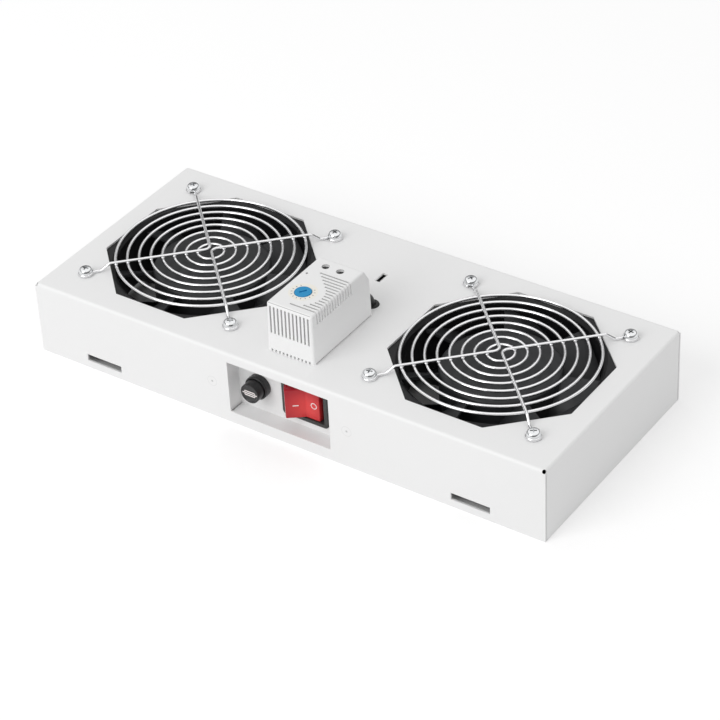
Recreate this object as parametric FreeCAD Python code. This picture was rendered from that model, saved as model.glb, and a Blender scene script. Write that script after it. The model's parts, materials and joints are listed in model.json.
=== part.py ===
import FreeCAD, Part
import math
import os
from FreeCAD import Vector

# Rack fan tray: a folded sheet-steel tray, open below, that carries two axial fans under
# eight-sided openings, a wire guard over each fan, a small thermostat on top, and a rocker switch
# with a fuse holder set back in a window of the front wall.
# Millimetres. Origin: middle of the tray on the plane of its bottom rim. +Z is up, -Y is the front.

# ---- tray ------------------------------------------------------------------------------------
TRAY_H = 48.0           # bottom rim to top face
SHEET = 1.2             # steel thickness of tray and bracket
BEND_R = 1.8            # outside radius of the folds
SEAM = 0.5              # open seam between the folded walls at each corner
RELIEF_D = 2.4          # round relief where two folds and a seam meet

SLOT_W = 25.0           # fixing slots in the front wall
SLOT_H = 4.5
SLOT_SIDE = 47.0        # slot centres in from the tray's sides
SLOT_Z = 7.2

WINDOW_W = 69.0         # window of the recess in the front wall
WINDOW_FOOT = 7.5       # bottom rim to the window
WINDOW_HEAD = 6.0       # window to the top face

LANCE_X = 1.0           # lanced tongue behind the thermostat, bent down from its right end
LANCE_BEHIND = 33.5     # middle of the tongue behind the thermostat
LANCE_L = 9.0           # along Y
LANCE_W = 3.6           # along X
LANCE_DROP = 2.4
LANCE_GAP = 0.4

# ---- recess bracket --------------------------------------------------------------------------
RECESS = 11.0           # front wall's outer face to the bracket plate
BRACKET_SIDE_GAP = 0.5  # inner side walls outside the window's edge
BRACKET_FLOOR_DROP = 0.5
FLANGE_W = 17.5         # flanges behind the front wall
FLOOR_GAP = 0.8         # floor and roof stop short of the side walls
STUD_OUT = 11.5         # flush clinch studs that hold the bracket, out from the window's edge
STUD_D = 4.0
STUD_HEAD_D = 6.6
STUD_HEAD_T = 0.7
STUD_L = 8.0
NUT_GAP = 0.05          # all round between a shank and its nut or hole
STUD_NUT_AF = 7.0
STUD_NUT_T = 3.2

# ---- fans ------------------------------------------------------------------------------------
FAN_SIZE = 120.0
FAN_PITCH = 200.0       # between the two fan centres
FAN_SIDE = 13.0         # fan frame to the tray's side
FAN_REAR = 13.0         # fan frame to the tray's rear
FAN_BEHIND = 2.8        # fan frame behind the bracket plate
OPENING_LAP = 0.5       # the eight-sided opening's flats lie this far inside the fan frame
FAN_DEPTH = 38.0
FAN_CORNER_R = 7.0
FAN_FLANGE_T = 4.5
FAN_RIM = 3.0           # flange left between the bore and the frame's side
FAN_TUBE_WALL = 2.6
FAN_FLARE = 2.0         # chamfered mouth at both ends of the bore
HOLE_INSET = 7.5        # fixing holes in from the frame's sides
HOLE_D = 4.5
MOTOR_PLATE_R = 31.0
MOTOR_PLATE_T = 3.0
STRUT_COUNT = 3
STRUT_W = 6.0
STRUT_T = 4.0
STRUT_BITE = 2.0        # struts start this far inside the motor plate's edge
BEARING_R = 7.5         # bearing tube standing on the motor plate
SHAFT_R = 2.5
SHAFT_FIT = 0.05        # running clearance round the shaft
STATOR_R = 27.0
STATOR_FIT = 0.1
STATOR_H = 16.0
STATOR_LIFT = 3.0       # stator above the motor plate
STATOR_FOOT_R = 10.5
HUB_R = 35.0
HUB_WALL = 2.0
HUB_H = 24.0
HUB_SINK = 4.0          # hub's top below the fan's top face
HUB_EDGE_R = 2.5
HUB_BOSS_R = 5.5
HUB_BOSS_H = 7.0
SHAFT_END_GAP = 0.6     # shaft's foot above the motor plate
BLADE_COUNT = 7
TIP_GAP = 1.0           # blade tips to the bore
BLADE_T = 2.2
BLADE_EDGE_T = 0.8
BLADE_CAMBER = 3.2
ROOT_CHORD = 27.0
ROOT_PITCH = 51.0       # degrees from the plane of rotation
TIP_CHORD = 40.0
TIP_PITCH = 32.0
BLADE_BITE = 1.0        # blades start this deep in the hub's wall

# ---- wire guards -----------------------------------------------------------------------------
WIRE_D = 1.8
WIRE_SIDES = 6          # the round wire is drawn with flats, one of them up and one down
RING_COUNT = 8
RING_R1 = 8.5           # smallest ring, to the middle of its wire
RING_LAP = 0.5          # largest ring outside the fan's bore
RING_RISE = 3.2         # rings' middle plane above the tray
NOSE_R = 4.0            # bend where the two arms of a V wire meet
EYE_R = 3.9             # eye round each screw, to the middle of the wire
EYE_BLEND_R = 3.0
EYE_OPEN = 38.0         # degrees left open at the eye's free end
STEP_FOOT = 2.8         # step down outside the last ring ends this far before the eye's bend
STEP_R = 2.6
STEP_GAP = 1.6          # last ring to the top of the step

# ---- guard screws and nuts -------------------------------------------------------------------
SCREW_D = 4.0
HEAD_D = 8.5
HEAD_T = 2.6
HEAD_EDGE = 0.9
SCREW_TAIL = 1.2        # thread showing past the nut
SCREW_NUT_AF = 7.0
SCREW_NUT_T = 3.2

# ---- rocker switch ---------------------------------------------------------------------------
SWITCH_X = 11.4
BEZEL_LIP = 1.75        # bezel beyond the body all round
BEZEL_T = 2.0
BEZEL_R = 3.0
BEZEL_EDGE_R = 0.8
SWITCH_END_WALL = 0.85  # beyond the rocker's ends
SWITCH_SIDE_WALL = 1.0  # beyond the rocker's sides
SWITCH_BODY_L = 20.0    # behind the bracket plate's front face
CUTOUT_GAP = 0.2        # all round between a body and its cut-out
ROCKER_R = 12.88        # rocker ends, about the pivot
ROCKER_FIT = 0.27
ROCKER_H = 19.5
ROCKER_SIDE_GAP = 0.25
ROCKER_END = 31.0       # degrees from the pivot's level to a rocker end, rocker in the middle
ROCKER_SKIRT = 8.0      # degrees below the pivot's level to the skirt's foot
ROCKER_SWING = 11.0     # degrees each way from the middle; the switch is drawn at off
PIVOT_SINK = 2.0        # pivot behind the plate's front face
PIVOT_R = 1.5
PIVOT_FIT = 0.08
PIVOT_L = 0.8           # pin length beyond the rocker's side
CAVITY_L = 9.0          # cavity behind the plate's front face
TAB_W = 6.3
TAB_T = 0.8
TAB_L = 9.0
TAB_X = 6.0             # tabs either side of the switch's middle
TAB_Z = 5.5

# ---- fuse holder -----------------------------------------------------------------------------
FUSE_X = -20.3
FUSE_RIM = 1.15         # flange round the knob
FUSE_RIM_EDGE = 0.5
FUSE_FLANGE_T = 4.6
FUSE_KNOB_R = 6.15
FUSE_KNOB_FIT = 0.1
FUSE_KNOB_OUT = 10.6    # knob's face in front of the plate
FUSE_KNOB_EDGE = 0.5
FUSE_SEAT = 0.3         # knob's foot in front of the plate
FUSE_BODY_R = 6.0
FUSE_END_WALL = 1.5
FUSE_BORE_R = 4.6
CARRIER_FIT = 0.1
CARRIER_L = 9.0
LINK_R = 2.6
LINK_L = 20.0
LINK_FIT = 0.05
LINK_CAP_L = 5.0
LINK_NECK = 0.15        # glass tube inside its end caps' radius
LINK_SINK = 4.0         # link's front end behind the plate's front face
LINK_END_GAP = 1.5      # link's far end to the end wall
FUSE_NUT_AF = 16.0
FUSE_NUT_T = 3.0
FUSE_TAB_L = 8.0
FUSE_TAB_W = 4.8

# ---- thermostat ------------------------------------------------------------------------------
THERMO_W = 32.0
THERMO_L = 58.0
THERMO_H = 32.5
THERMO_X = -0.5         # middle of the housing
THERMO_SETBACK = 15.5   # behind the front wall
THERMO_WALL = 1.8
THERMO_DRAFT = 0.7      # each side leans in by this much at the top
THERMO_EDGE_R = 1.6
SLOPE_L = 5.8           # sloped rear end of the top
SLOPE_H = 10.0
COVER_LIFT = 0.9        # long sides stop this far above the tray
LOUVRE_COUNT = 11
LOUVRE_PITCH = 2.55
LOUVRE_W = 1.1
LOUVRE_Z = 12.3         # foot of the louvre slots above the tray
LOUVRE_TOP = 2.2        # slots end this far below the top
NOTCH_H = 1.7
NOTCH_W = 1.2
RIB_COUNT = 14
RIB_PITCH = 2.55
RIB_W = 1.2
RIB_DEPTH = 0.45
RIB_DOWN = 8.0          # grooves run this far down the right side
RIB_FROM_REAR = 19.0    # rearmost groove
RIB_DISC_R = 12.6       # plain disc round the dial that the grooves stop at
RIB_DIAGONAL = 45.0     # degrees; plain field's edge behind the disc
DIAL_OFF = -2.6         # from the housing's middle
DIAL_FROM_FRONT = 18.6
DIAL_R = 4.9
DIAL_GAP = 0.25
DIAL_PROUD = 0.6
DIAL_T = 2.2
DIAL_SLOT_W = 1.2
DIAL_SLOT_T = 0.8
DIAL_SLOT_R = 4.2       # slot's outer end
SPINDLE_R = 2.0
SPINDLE_FIT = 0.05
SPINDLE_L = 10.0
SPINDLE_END_GAP = 0.5
ACCESS_R = 2.4          # holes above the two terminal screws
ACCESS_FROM_REAR = 12.3
ACCESS_OFF = -1.1       # middle of the pair from the housing's middle
ACCESS_PITCH = 9.9
PINHOLE_R = 0.8
PINHOLE_OFF = -11.5
PINHOLE_FROM_REAR = 23.0
BASE_T = 2.0
BASE_GAP = 0.2
PEDESTAL_W = 12.0
PEDESTAL_H = 23.0
BLOCK_L = 11.0          # terminal block on the base
BLOCK_H = 17.0
BLOCK_SIDE = 3.6        # block inside the housing's sides
BOSS_R = 3.2
BOSS_H = 8.0
BOSS_OFF = 9.9          # bosses either side of the housing's middle
BOSS_FROM_FRONT = (8.5, 30.5)
BOSS_HOLE_L = 6.0
TAPPING_R = 1.4
TAPPING_HEAD_R = 2.8
TAPPING_HEAD_T = 2.0
TAPPING_L = 5.5         # into the boss
TERMINAL_HEAD_R = 2.1
TERMINAL_HEAD_T = 1.6
BIMETAL_T = 0.8
BIMETAL_W = 9.0
BIMETAL_H = 19.0
BIMETAL_FOOT = 6.0
BIMETAL_OFF = 1.5
BIMETAL_FROM_FRONT = 5.0

# ---- thermostat lead -------------------------------------------------------------------------
LEAD_D = 4.6
LEAD_OFF = 9.9          # from the housing's middle
LEAD_BEHIND = 8.0       # goes down through the tray this far behind the housing
LEAD_Z = 10.2           # above the tray, where it leaves the housing
LEAD_SHARE = 0.45       # share of the shorter run that an arc may take
LEAD_TURN_AT = 0.42     # share of the way back to the connector where the lead turns
GROMMET_HOLE_R = 3.6
GROMMET_FLANGE_R = 4.6
GROMMET_FLANGE_T = 0.8
BOOT_W = 9.0            # insulated connector on the switch's tab
BOOT_T = 6.0
BOOT_L = 18.0
BOOT_BITE = 7.0
BOOT_GAP = 0.2

# ---- mains inlet -----------------------------------------------------------------------------
INLET_W = 27.0
INLET_H = 19.8
INLET_L = 18.0          # inside the rear wall
INLET_CORNER = 4.0      # chamfer of the two upper corners
INLET_FLANGE_W = 50.0
INLET_FLANGE_H = 24.0
INLET_FLANGE_T = 3.0
INLET_FLANGE_R = 3.0
INLET_Z = 24.0
INLET_SCREW_PITCH = 40.0
INLET_WALL = 1.8
INLET_MOUTH_L = 15.0
PIN_W = 4.0
PIN_T = 2.0
PIN_L = 12.0
PIN_TAIL = 8.0
PIN_PITCH = 7.0
PIN_RISE = 2.0          # the earth pin above the other two
INLET_SCREW_R = 1.5
INLET_HEAD_R = 2.9
INLET_SCREW_L = 8.0

# ---- levels and places that follow -----------------------------------------------------------
TRAY_W = FAN_PITCH + FAN_SIZE + 2 * FAN_SIDE                       # along X
TRAY_D = RECESS + SHEET + FAN_BEHIND + FAN_SIZE + FAN_REAR         # along Y
TOP = TRAY_H
UNDER = TRAY_H - SHEET                 # underside of the top
FRONT = -TRAY_D / 2
PLATE = FRONT + RECESS                 # front face of the bracket plate
REAR_IN = TRAY_D / 2 - SHEET
SLOT_X = TRAY_W / 2 - SLOT_SIDE
WINDOW_H = TRAY_H - WINDOW_FOOT - WINDOW_HEAD
WINDOW_Z = WINDOW_FOOT + WINDOW_H / 2  # window's middle, which switch and fuse share
STUD_X = WINDOW_W / 2 + STUD_OUT
FAN_X = FAN_PITCH / 2
FAN_Y = TRAY_D / 2 - FAN_REAR - FAN_SIZE / 2
FAN_BORE_R = FAN_SIZE / 2 - FAN_RIM
FAN_TUBE_R = FAN_BORE_R + FAN_TUBE_WALL
HOLE_PITCH = FAN_SIZE - 2 * HOLE_INSET
OPENING_AF = FAN_SIZE - 2 * OPENING_LAP
FAN_TOP = UNDER
FAN_BOTTOM = FAN_TOP - FAN_DEPTH
HUB_TOP = FAN_TOP - HUB_SINK
WIRE_R = WIRE_D / 2
RING_Z = TOP + RING_RISE
V_WIRE_Z = RING_Z + WIRE_D
EYE_Z = TOP + WIRE_R
RING_OUT = FAN_BORE_R + RING_LAP
RING_STEP = (RING_OUT - RING_R1) / (RING_COUNT - 1)
SWITCH_BODY_W = 2 * (ROCKER_R + ROCKER_FIT + SWITCH_END_WALL)
SWITCH_BODY_H = ROCKER_H + 2 * (ROCKER_SIDE_GAP + SWITCH_SIDE_WALL)
FUSE_FLANGE_R = FUSE_KNOB_R + FUSE_KNOB_FIT + FUSE_RIM
FUSE_BODY_L = LINK_SINK + LINK_L + LINK_END_GAP + FUSE_END_WALL    # behind the plate's front face
COVER_TOP = TOP + THERMO_H
THERMO_FRONT_Y = FRONT + THERMO_SETBACK
THERMO_REAR_Y = THERMO_FRONT_Y + THERMO_L
DIAL_X = THERMO_X + DIAL_OFF
DIAL_Y = THERMO_FRONT_Y + DIAL_FROM_FRONT
ACCESS_Y = THERMO_REAR_Y - ACCESS_FROM_REAR
ACCESS_XS = [THERMO_X + ACCESS_OFF + side * ACCESS_PITCH / 2 for side in (-1, 1)]
BOSSES = [(THERMO_X + side * BOSS_OFF, THERMO_FRONT_Y + y) for side, y in zip((-1, 1), BOSS_FROM_FRONT)]
LEAD_X = THERMO_X + LEAD_OFF
LEAD_Y = THERMO_REAR_Y + LEAD_BEHIND
LANCE_Y = THERMO_REAR_Y + LANCE_BEHIND
PAST = 1.0              # cutters reach this far past the faces they cut
FANS = {"left": Vector(-FAN_X, FAN_Y, 0), "right": Vector(FAN_X, FAN_Y, 0)}
CORNERS = [(sx, sy) for sx in (-1, 1) for sy in (-1, 1)]

X = Vector(1, 0, 0)
Y = Vector(0, 1, 0)
Z = Vector(0, 0, 1)


# ---- helpers ---------------------------------------------------------------------------------
def box(x0, x1, y0, y1, z0, z1):
    return Part.makeBox(x1 - x0, y1 - y0, z1 - z0, Vector(x0, y0, z0))


def rod(radius, start, length, axis=Z):
    return Part.makeCylinder(radius, length, start, axis)


def prism(points, along):
    """The closed outline through the points, extruded by the vector."""
    return Part.Face(Part.makePolygon(points + [points[0]])).extrude(along)


def polygon_points(count, radius, centre, first=0.0):
    step = 2 * math.pi / count
    turns = [first + i * step for i in range(count)]
    return [centre + Vector(radius * math.cos(a), radius * math.sin(a), 0) for a in turns]


def turned_about_z(centre, profile):
    """A solid of revolution about the vertical through centre, from (radius, z) points."""
    points = [Vector(centre.x + r, centre.y, z) for r, z in profile]
    face = Part.Face(Part.makePolygon(points + [points[0]]))
    return face.revolve(Vector(centre.x, centre.y, 0), Z, 360)


def turned_about_y(x, z, profile):
    """A solid of revolution about the front-to-back axis at (x, z), from (radius, y) points."""
    points = [Vector(x + r, y, z) for r, y in profile]
    face = Part.Face(Part.makePolygon(points + [points[0]]))
    return face.revolve(Vector(x, 0, z), Y, 360)


def rounded_block(x0, x1, y0, y1, z0, z1, radius):
    """A block whose four front-to-back edges are rounded."""
    solid = box(x0, x1, y0, y1, z0, z1)
    edges = [e for e in solid.Edges if abs(e.tangentAt(e.FirstParameter).y) > 0.99]
    return solid.makeFillet(radius, edges)


def hex_nut(flats, thick, hole_r, seat, axis):
    """A hexagon nut that starts at seat and stands along axis."""
    corner = flats / 2 / math.cos(math.pi / 6)
    nut = prism(polygon_points(6, corner, Vector(0, 0, 0)), Z * thick)
    nut = nut.cut(rod(hole_r, Vector(0, 0, 0), thick))
    nut.Placement = FreeCAD.Placement(seat, FreeCAD.Rotation(Z, axis))
    return nut


def fused(shapes):
    return shapes[0].multiFuse(shapes[1:]).removeSplitter()


def edges_where(solid, test):
    return [e for e in solid.Edges if test(e.BoundBox)]


def export(name, shape):
    solids = shape.Solids
    if not solids or not shape.isValid():
        raise ValueError(name + " is not a valid solid")
    shape = solids[0] if len(solids) == 1 else Part.makeCompound(solids)
    shape.exportStep("parts/" + name + ".step")
    print(name, len(solids), "solid(s)", round(shape.Volume, 1), "mm3")


# ---- tray ------------------------------------------------------------------------------------
def folded_box(inset, radius):
    """A block with its four top edges rounded, inset from the tray's outer faces."""
    wide = TRAY_W / 2 - inset
    deep = TRAY_D / 2 - inset
    solid = box(-wide, wide, -deep, deep, -inset, TOP - inset)
    return solid.makeFillet(radius, edges_where(solid, lambda b: b.ZMin > TOP - inset - 0.01))


def guard_holes(centre):
    half = HOLE_PITCH / 2
    return [centre + Vector(sx * half, sy * half, 0) for sx, sy in CORNERS]


def through_top(radius, at):
    """A round cutter through the tray's top."""
    return rod(radius, at + Z * (UNDER - PAST), SHEET + 2 * PAST)


def octagon_opening(centre):
    radius = OPENING_AF / 2 / math.cos(math.pi / 8)
    start = centre + Z * (UNDER - PAST)
    return prism(polygon_points(8, radius, start, math.pi / 8), Z * (SHEET + 2 * PAST))


def corner_seams():
    """Narrow open seams between the folded walls, each ending in a round relief."""
    cuts = []
    reach = SHEET + BEND_R + PAST
    for sx, sy in CORNERS:
        inner = TRAY_D / 2 - SHEET
        xs = sorted([sx * (TRAY_W / 2 - reach), sx * (TRAY_W / 2 + PAST)])
        ys = sorted([sy * inner, sy * (inner - SEAM)])
        cuts.append(box(xs[0], xs[1], ys[0], ys[1], -PAST, TOP - BEND_R))
        out = Vector(sx, sy, 1)
        tip = Vector(sx * (TRAY_W / 2 - BEND_R), sy * (TRAY_D / 2 - BEND_R), TOP - BEND_R)
        cuts.append(rod(RELIEF_D / 2, tip - out * reach, 2 * reach * out.Length, out))
    return cuts


def tray_panel():
    panel = folded_box(0, BEND_R).cut(folded_box(SHEET, BEND_R - SHEET))
    cuts = corner_seams()
    for centre in FANS.values():
        cuts.append(octagon_opening(centre))
        cuts += [through_top(HOLE_D / 2, p) for p in guard_holes(centre)]
    wall = (FRONT - PAST, FRONT + SHEET + PAST)
    for side in (-1, 1):
        x0 = side * SLOT_X - SLOT_W / 2
        z0 = SLOT_Z - SLOT_H / 2
        cuts.append(box(x0, x0 + SLOT_W, *wall, z0, z0 + SLOT_H))
        stud = Vector(side * STUD_X, FRONT, WINDOW_Z)
        cuts.append(rod(STUD_HEAD_D / 2, stud, STUD_HEAD_T, Y))
        cuts.append(rod(STUD_D / 2, stud, SHEET + PAST, Y))
    half_h = WINDOW_H / 2
    cuts.append(box(-WINDOW_W / 2, WINDOW_W / 2, *wall, WINDOW_Z - half_h, WINDOW_Z + half_h))
    for x, y in BOSSES:
        cuts.append(through_top(TAPPING_R + CUTOUT_GAP, Vector(x, y, 0)))
    cuts.append(through_top(GROMMET_HOLE_R, Vector(LEAD_X, LEAD_Y, 0)))
    y0 = LANCE_Y - LANCE_L / 2
    cuts.append(box(LANCE_X - LANCE_W, LANCE_X, y0, y0 + LANCE_L, UNDER - PAST, TOP + PAST))
    gap = 2 * CUTOUT_GAP
    cuts.append(inlet_outline(INLET_W + gap, INLET_H + gap, REAR_IN - PAST, SHEET + 2 * PAST))
    for side in (-1, 1):
        at = Vector(side * INLET_SCREW_PITCH / 2, REAR_IN - PAST, INLET_Z)
        cuts.append(rod(INLET_SCREW_R + NUT_GAP, at, SHEET + 2 * PAST, Y))
        cuts.append(inlet_screw_head(side))
    return fused([panel.cut(cuts), lance_tongue()])


def lance_tongue():
    """The strip of the lance, still joined at its right end and bent down at the other."""
    tip = LANCE_X - LANCE_W + LANCE_GAP + SHEET / 2
    y0 = LANCE_Y - LANCE_L / 2 + LANCE_GAP
    outline = [
        Vector(LANCE_X, y0, TOP),
        Vector(tip, y0, TOP - LANCE_DROP),
        Vector(tip + SHEET / 2, y0, UNDER - LANCE_DROP),
        Vector(LANCE_X, y0, UNDER),
    ]
    return prism(outline, Y * (LANCE_L - 2 * LANCE_GAP))


# ---- recess bracket and its fasteners --------------------------------------------------------
def switch_bracket():
    """A hat-section bracket: plate, two side walls, two flanges, with a floor and a roof."""
    inner = WINDOW_W / 2 + BRACKET_SIDE_GAP
    outer = inner + SHEET
    wide = inner + FLANGE_W
    near = FRONT + SHEET
    z0 = WINDOW_Z - WINDOW_H / 2 - BRACKET_FLOOR_DROP - SHEET
    z1 = WINDOW_Z + WINDOW_H / 2 + BRACKET_FLOOR_DROP + SHEET
    half = [(wide, near), (inner, near), (inner, PLATE)]
    back = [(outer, PLATE + SHEET), (outer, near + SHEET), (wide, near + SHEET)]
    right = half + [(-x, y) for x, y in reversed(half)]
    left = [(-x, y) for x, y in reversed(back)] + back
    outline = [Vector(x, y, z0) for x, y in right + left]
    solid = prism(outline, Z * (z1 - z0))
    upright = [e for e in solid.Edges if e.BoundBox.ZLength > z1 - z0 - 0.01]
    bends = [e for e in upright if abs(abs(e.BoundBox.Center.x) - wide) > 0.1]
    tight = [e for e in bends if is_inner_bend(e, inner, outer, near)]
    loose = [e for e in bends if not is_inner_bend(e, inner, outer, near)]
    solid = solid.makeFillet(BEND_R - SHEET, tight)
    solid = solid.makeFillet(BEND_R, matching(solid, loose))
    floor_x = inner - FLOOR_GAP
    for low in (z0, z1 - SHEET):
        shelf = box(-floor_x, floor_x, near + NUT_GAP, PLATE + SHEET / 2, low, low + SHEET)
        solid = solid.fuse(shelf)
    gap = CUTOUT_GAP
    half_w = SWITCH_BODY_W / 2 + gap
    half_h = SWITCH_BODY_H / 2 + gap
    x, z = SWITCH_X, WINDOW_Z
    around = (PLATE - PAST, PLATE + SHEET + PAST)
    cuts = [box(x - half_w, x + half_w, *around, z - half_h, z + half_h)]
    cuts.append(rod(FUSE_BODY_R + gap, Vector(FUSE_X, PLATE - PAST, z), SHEET + 2 * PAST, Y))
    for side in (-1, 1):
        at = Vector(side * STUD_X, near - PAST, z)
        cuts.append(rod(STUD_D / 2 + gap, at, SHEET + 2 * PAST, Y))
    return solid.cut(cuts).removeSplitter()


def is_inner_bend(edge, inner, outer, near):
    """True on the hollow side of a fold: the plate's front corners and the flanges' back corners."""
    x = abs(edge.BoundBox.Center.x)
    y = edge.BoundBox.Center.y
    front_corner = abs(x - inner) < 0.1 and abs(y - PLATE) < 0.1
    flange_corner = abs(x - outer) < 0.1 and abs(y - near - SHEET) < 0.1
    return front_corner or flange_corner


def matching(solid, edges):
    """The solid's edges that lie where the given edges did."""
    centres = [e.BoundBox.Center for e in edges]
    return [e for e in solid.Edges if any((e.BoundBox.Center - c).Length < 0.01 for c in centres)]


def bracket_studs():
    studs = []
    for side in (-1, 1):
        at = Vector(side * STUD_X, FRONT, WINDOW_Z)
        studs.append(rod(STUD_HEAD_D / 2, at, STUD_HEAD_T, Y).fuse(rod(STUD_D / 2, at, STUD_L, Y)))
    return Part.makeCompound(studs)


def bracket_nuts():
    seats = [Vector(side * STUD_X, FRONT + 2 * SHEET, WINDOW_Z) for side in (-1, 1)]
    hole = STUD_D / 2 + NUT_GAP
    return Part.makeCompound([hex_nut(STUD_NUT_AF, STUD_NUT_T, hole, s, Y) for s in seats])


# ---- fans ------------------------------------------------------------------------------------
def fan_frame(centre):
    """Square flanges at both ends of a tube, with three struts that carry the motor plate."""
    half = FAN_SIZE / 2
    x, y = centre.x, centre.y
    tube = rod(FAN_TUBE_R, centre + Z * FAN_BOTTOM, FAN_DEPTH)
    flanges = []
    for z in (FAN_BOTTOM, FAN_TOP - FAN_FLANGE_T):
        plate = box(x - half, x + half, y - half, y + half, z, z + FAN_FLANGE_T)
        corners = [e for e in plate.Edges if e.BoundBox.ZLength > FAN_FLANGE_T - 0.01]
        flanges.append(plate.makeFillet(FAN_CORNER_R, corners))
    body = tube.multiFuse(flanges)
    mouth = FAN_BORE_R + FAN_FLARE
    bore = turned_about_z(centre, [
        (0, FAN_BOTTOM - PAST), (mouth, FAN_BOTTOM - PAST), (mouth, FAN_BOTTOM),
        (FAN_BORE_R, FAN_BOTTOM + FAN_FLARE), (FAN_BORE_R, FAN_TOP - FAN_FLARE),
        (mouth, FAN_TOP), (mouth, FAN_TOP + PAST), (0, FAN_TOP + PAST),
    ])
    low = Z * (FAN_BOTTOM - PAST)
    holes = [rod(HOLE_D / 2, p + low, FAN_DEPTH + 2 * PAST) for p in guard_holes(centre)]
    body = body.cut([bore] + holes)
    return fused([body, motor_mount(centre)])


def motor_mount(centre):
    """Motor plate, bearing tube and struts, in one piece with the frame."""
    plate = rod(MOTOR_PLATE_R, centre + Z * FAN_BOTTOM, MOTOR_PLATE_T)
    tube = rod(BEARING_R, centre + Z * FAN_BOTTOM, MOTOR_PLATE_T + STATOR_LIFT + STATOR_H)
    parts = [tube]
    reach = (FAN_BORE_R + FAN_TUBE_R) / 2
    half = STRUT_W / 2
    for i in range(STRUT_COUNT):
        strut = box(MOTOR_PLATE_R - STRUT_BITE, reach, -half, half, FAN_BOTTOM, FAN_BOTTOM + STRUT_T)
        strut.rotate(Vector(0, 0, 0), Z, 90 + i * 360 / STRUT_COUNT)
        strut.translate(centre)
        parts.append(strut)
    mount = plate.multiFuse(parts)
    return mount.cut(rod(SHAFT_R + SHAFT_FIT, centre + Z * (FAN_BOTTOM + MOTOR_PLATE_T), FAN_DEPTH))


def fan_stator(centre):
    foot = centre + Z * (FAN_BOTTOM + MOTOR_PLATE_T)
    spacer = rod(STATOR_FOOT_R, foot, STATOR_LIFT)
    core = rod(STATOR_R, foot + Z * STATOR_LIFT, STATOR_H)
    return spacer.fuse(core).cut(rod(BEARING_R + STATOR_FIT, foot, STATOR_LIFT + STATOR_H))


def fan_shaft(centre):
    foot = FAN_BOTTOM + MOTOR_PLATE_T + SHAFT_END_GAP
    return rod(SHAFT_R, centre + Z * foot, HUB_TOP - HUB_WALL - foot)


def blade_section(x, chord, pitch):
    """A cambered blade section in the plane at x, leading edge up."""
    angle = math.radians(pitch)
    along = Vector(0, math.cos(angle), math.sin(angle))
    across = Vector(0, -math.sin(angle), math.cos(angle))
    middle = Vector(x, 0, HUB_TOP - HUB_H / 2)

    def at(share, offset):
        return middle + along * (share * chord) + across * offset

    edge = BLADE_EDGE_T / 2
    belly = BLADE_T / 2
    upper = Part.Arc(at(-0.5, edge), at(0, BLADE_CAMBER + belly), at(0.5, edge)).toShape()
    nose = Part.LineSegment(at(0.5, edge), at(0.5, -edge)).toShape()
    lower = Part.Arc(at(0.5, -edge), at(0, BLADE_CAMBER - belly), at(-0.5, -edge)).toShape()
    tail = Part.LineSegment(at(-0.5, -edge), at(-0.5, edge)).toShape()
    return Part.Wire([upper, nose, lower, tail])


def fan_rotor(centre):
    """Hub cup with its boss and the twisted blades, drawn about the origin and then moved."""
    r, top, edge = HUB_R, HUB_TOP, HUB_EDGE_R
    inner = HUB_R - HUB_WALL
    cup = turned_about_z(Vector(0, 0, 0), [
        (SHAFT_R, top - HUB_WALL), (0, top - HUB_WALL), (0, top), (r - edge, top),
        (r - edge / 4, top - edge / 4), (r, top - edge), (r, top - HUB_H), (inner, top - HUB_H),
        (inner, top - HUB_WALL), (HUB_BOSS_R, top - HUB_WALL),
        (HUB_BOSS_R, top - HUB_WALL - HUB_BOSS_H), (SHAFT_R, top - HUB_WALL - HUB_BOSS_H),
    ])
    root_x = HUB_R - 2 * HUB_WALL
    tip_x = FAN_BORE_R + TIP_GAP
    blade = Part.makeLoft([
        blade_section(root_x, ROOT_CHORD, ROOT_PITCH),
        blade_section(tip_x, TIP_CHORD, TIP_PITCH),
    ], True, True)
    ring = rod(FAN_BORE_R - TIP_GAP, Z * FAN_BOTTOM, FAN_DEPTH)
    ring = ring.cut(rod(HUB_R - BLADE_BITE, Z * FAN_BOTTOM, FAN_DEPTH))
    blade = blade.common(ring)
    blades = []
    for i in range(BLADE_COUNT):
        copy = blade.copy()
        copy.rotate(Vector(0, 0, 0), Z, i * 360 / BLADE_COUNT)
        blades.append(copy)
    rotor = cup.multiFuse(blades)
    rotor.translate(centre)
    return rotor


# ---- wire guards -----------------------------------------------------------------------------
def wire_section(middle, side, up):
    """The wire's outline round a point: flats up and down, WIRE_R from the middle to a flat."""
    corner = WIRE_R / math.cos(math.pi / WIRE_SIDES)
    turns = [2 * math.pi * i / WIRE_SIDES for i in range(WIRE_SIDES)]
    points = [middle + side * (corner * math.cos(a)) + up * (corner * math.sin(a)) for a in turns]
    return Part.makePolygon(points + [points[0]])


def guard_rings(centre):
    rings = []
    for i in range(RING_COUNT):
        middle = centre + Vector(RING_R1 + i * RING_STEP, 0, RING_Z)
        face = Part.Face(wire_section(middle, X, Z))
        rings.append(face.revolve(centre, Z, 360))
    return Part.makeCompound(rings)


def arc_between(start, corner, end, radius):
    """Where an arc of the radius leaves and joins the two legs at a corner, and its middle."""
    a = (start - corner).normalize()
    b = (end - corner).normalize()
    half = a.getAngle(b) / 2
    run = radius / math.tan(half)
    bisector = (a + b).normalize()
    middle = corner + bisector * (radius / math.sin(half) - radius)
    return corner + a * run, middle, corner + b * run


def bent_path(points, radii):
    """Straight runs through the points, joined by tangent arcs of the radii."""
    edges = []
    at = points[0]
    for i, radius in enumerate(radii):
        start, middle, end = arc_between(points[i], points[i + 1], points[i + 2], radius)
        edges.append(Part.LineSegment(at, start).toShape())
        edges.append(Part.Arc(start, middle, end).toShape())
        at = end
    edges.append(Part.LineSegment(at, points[-1]).toShape())
    return edges


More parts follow.
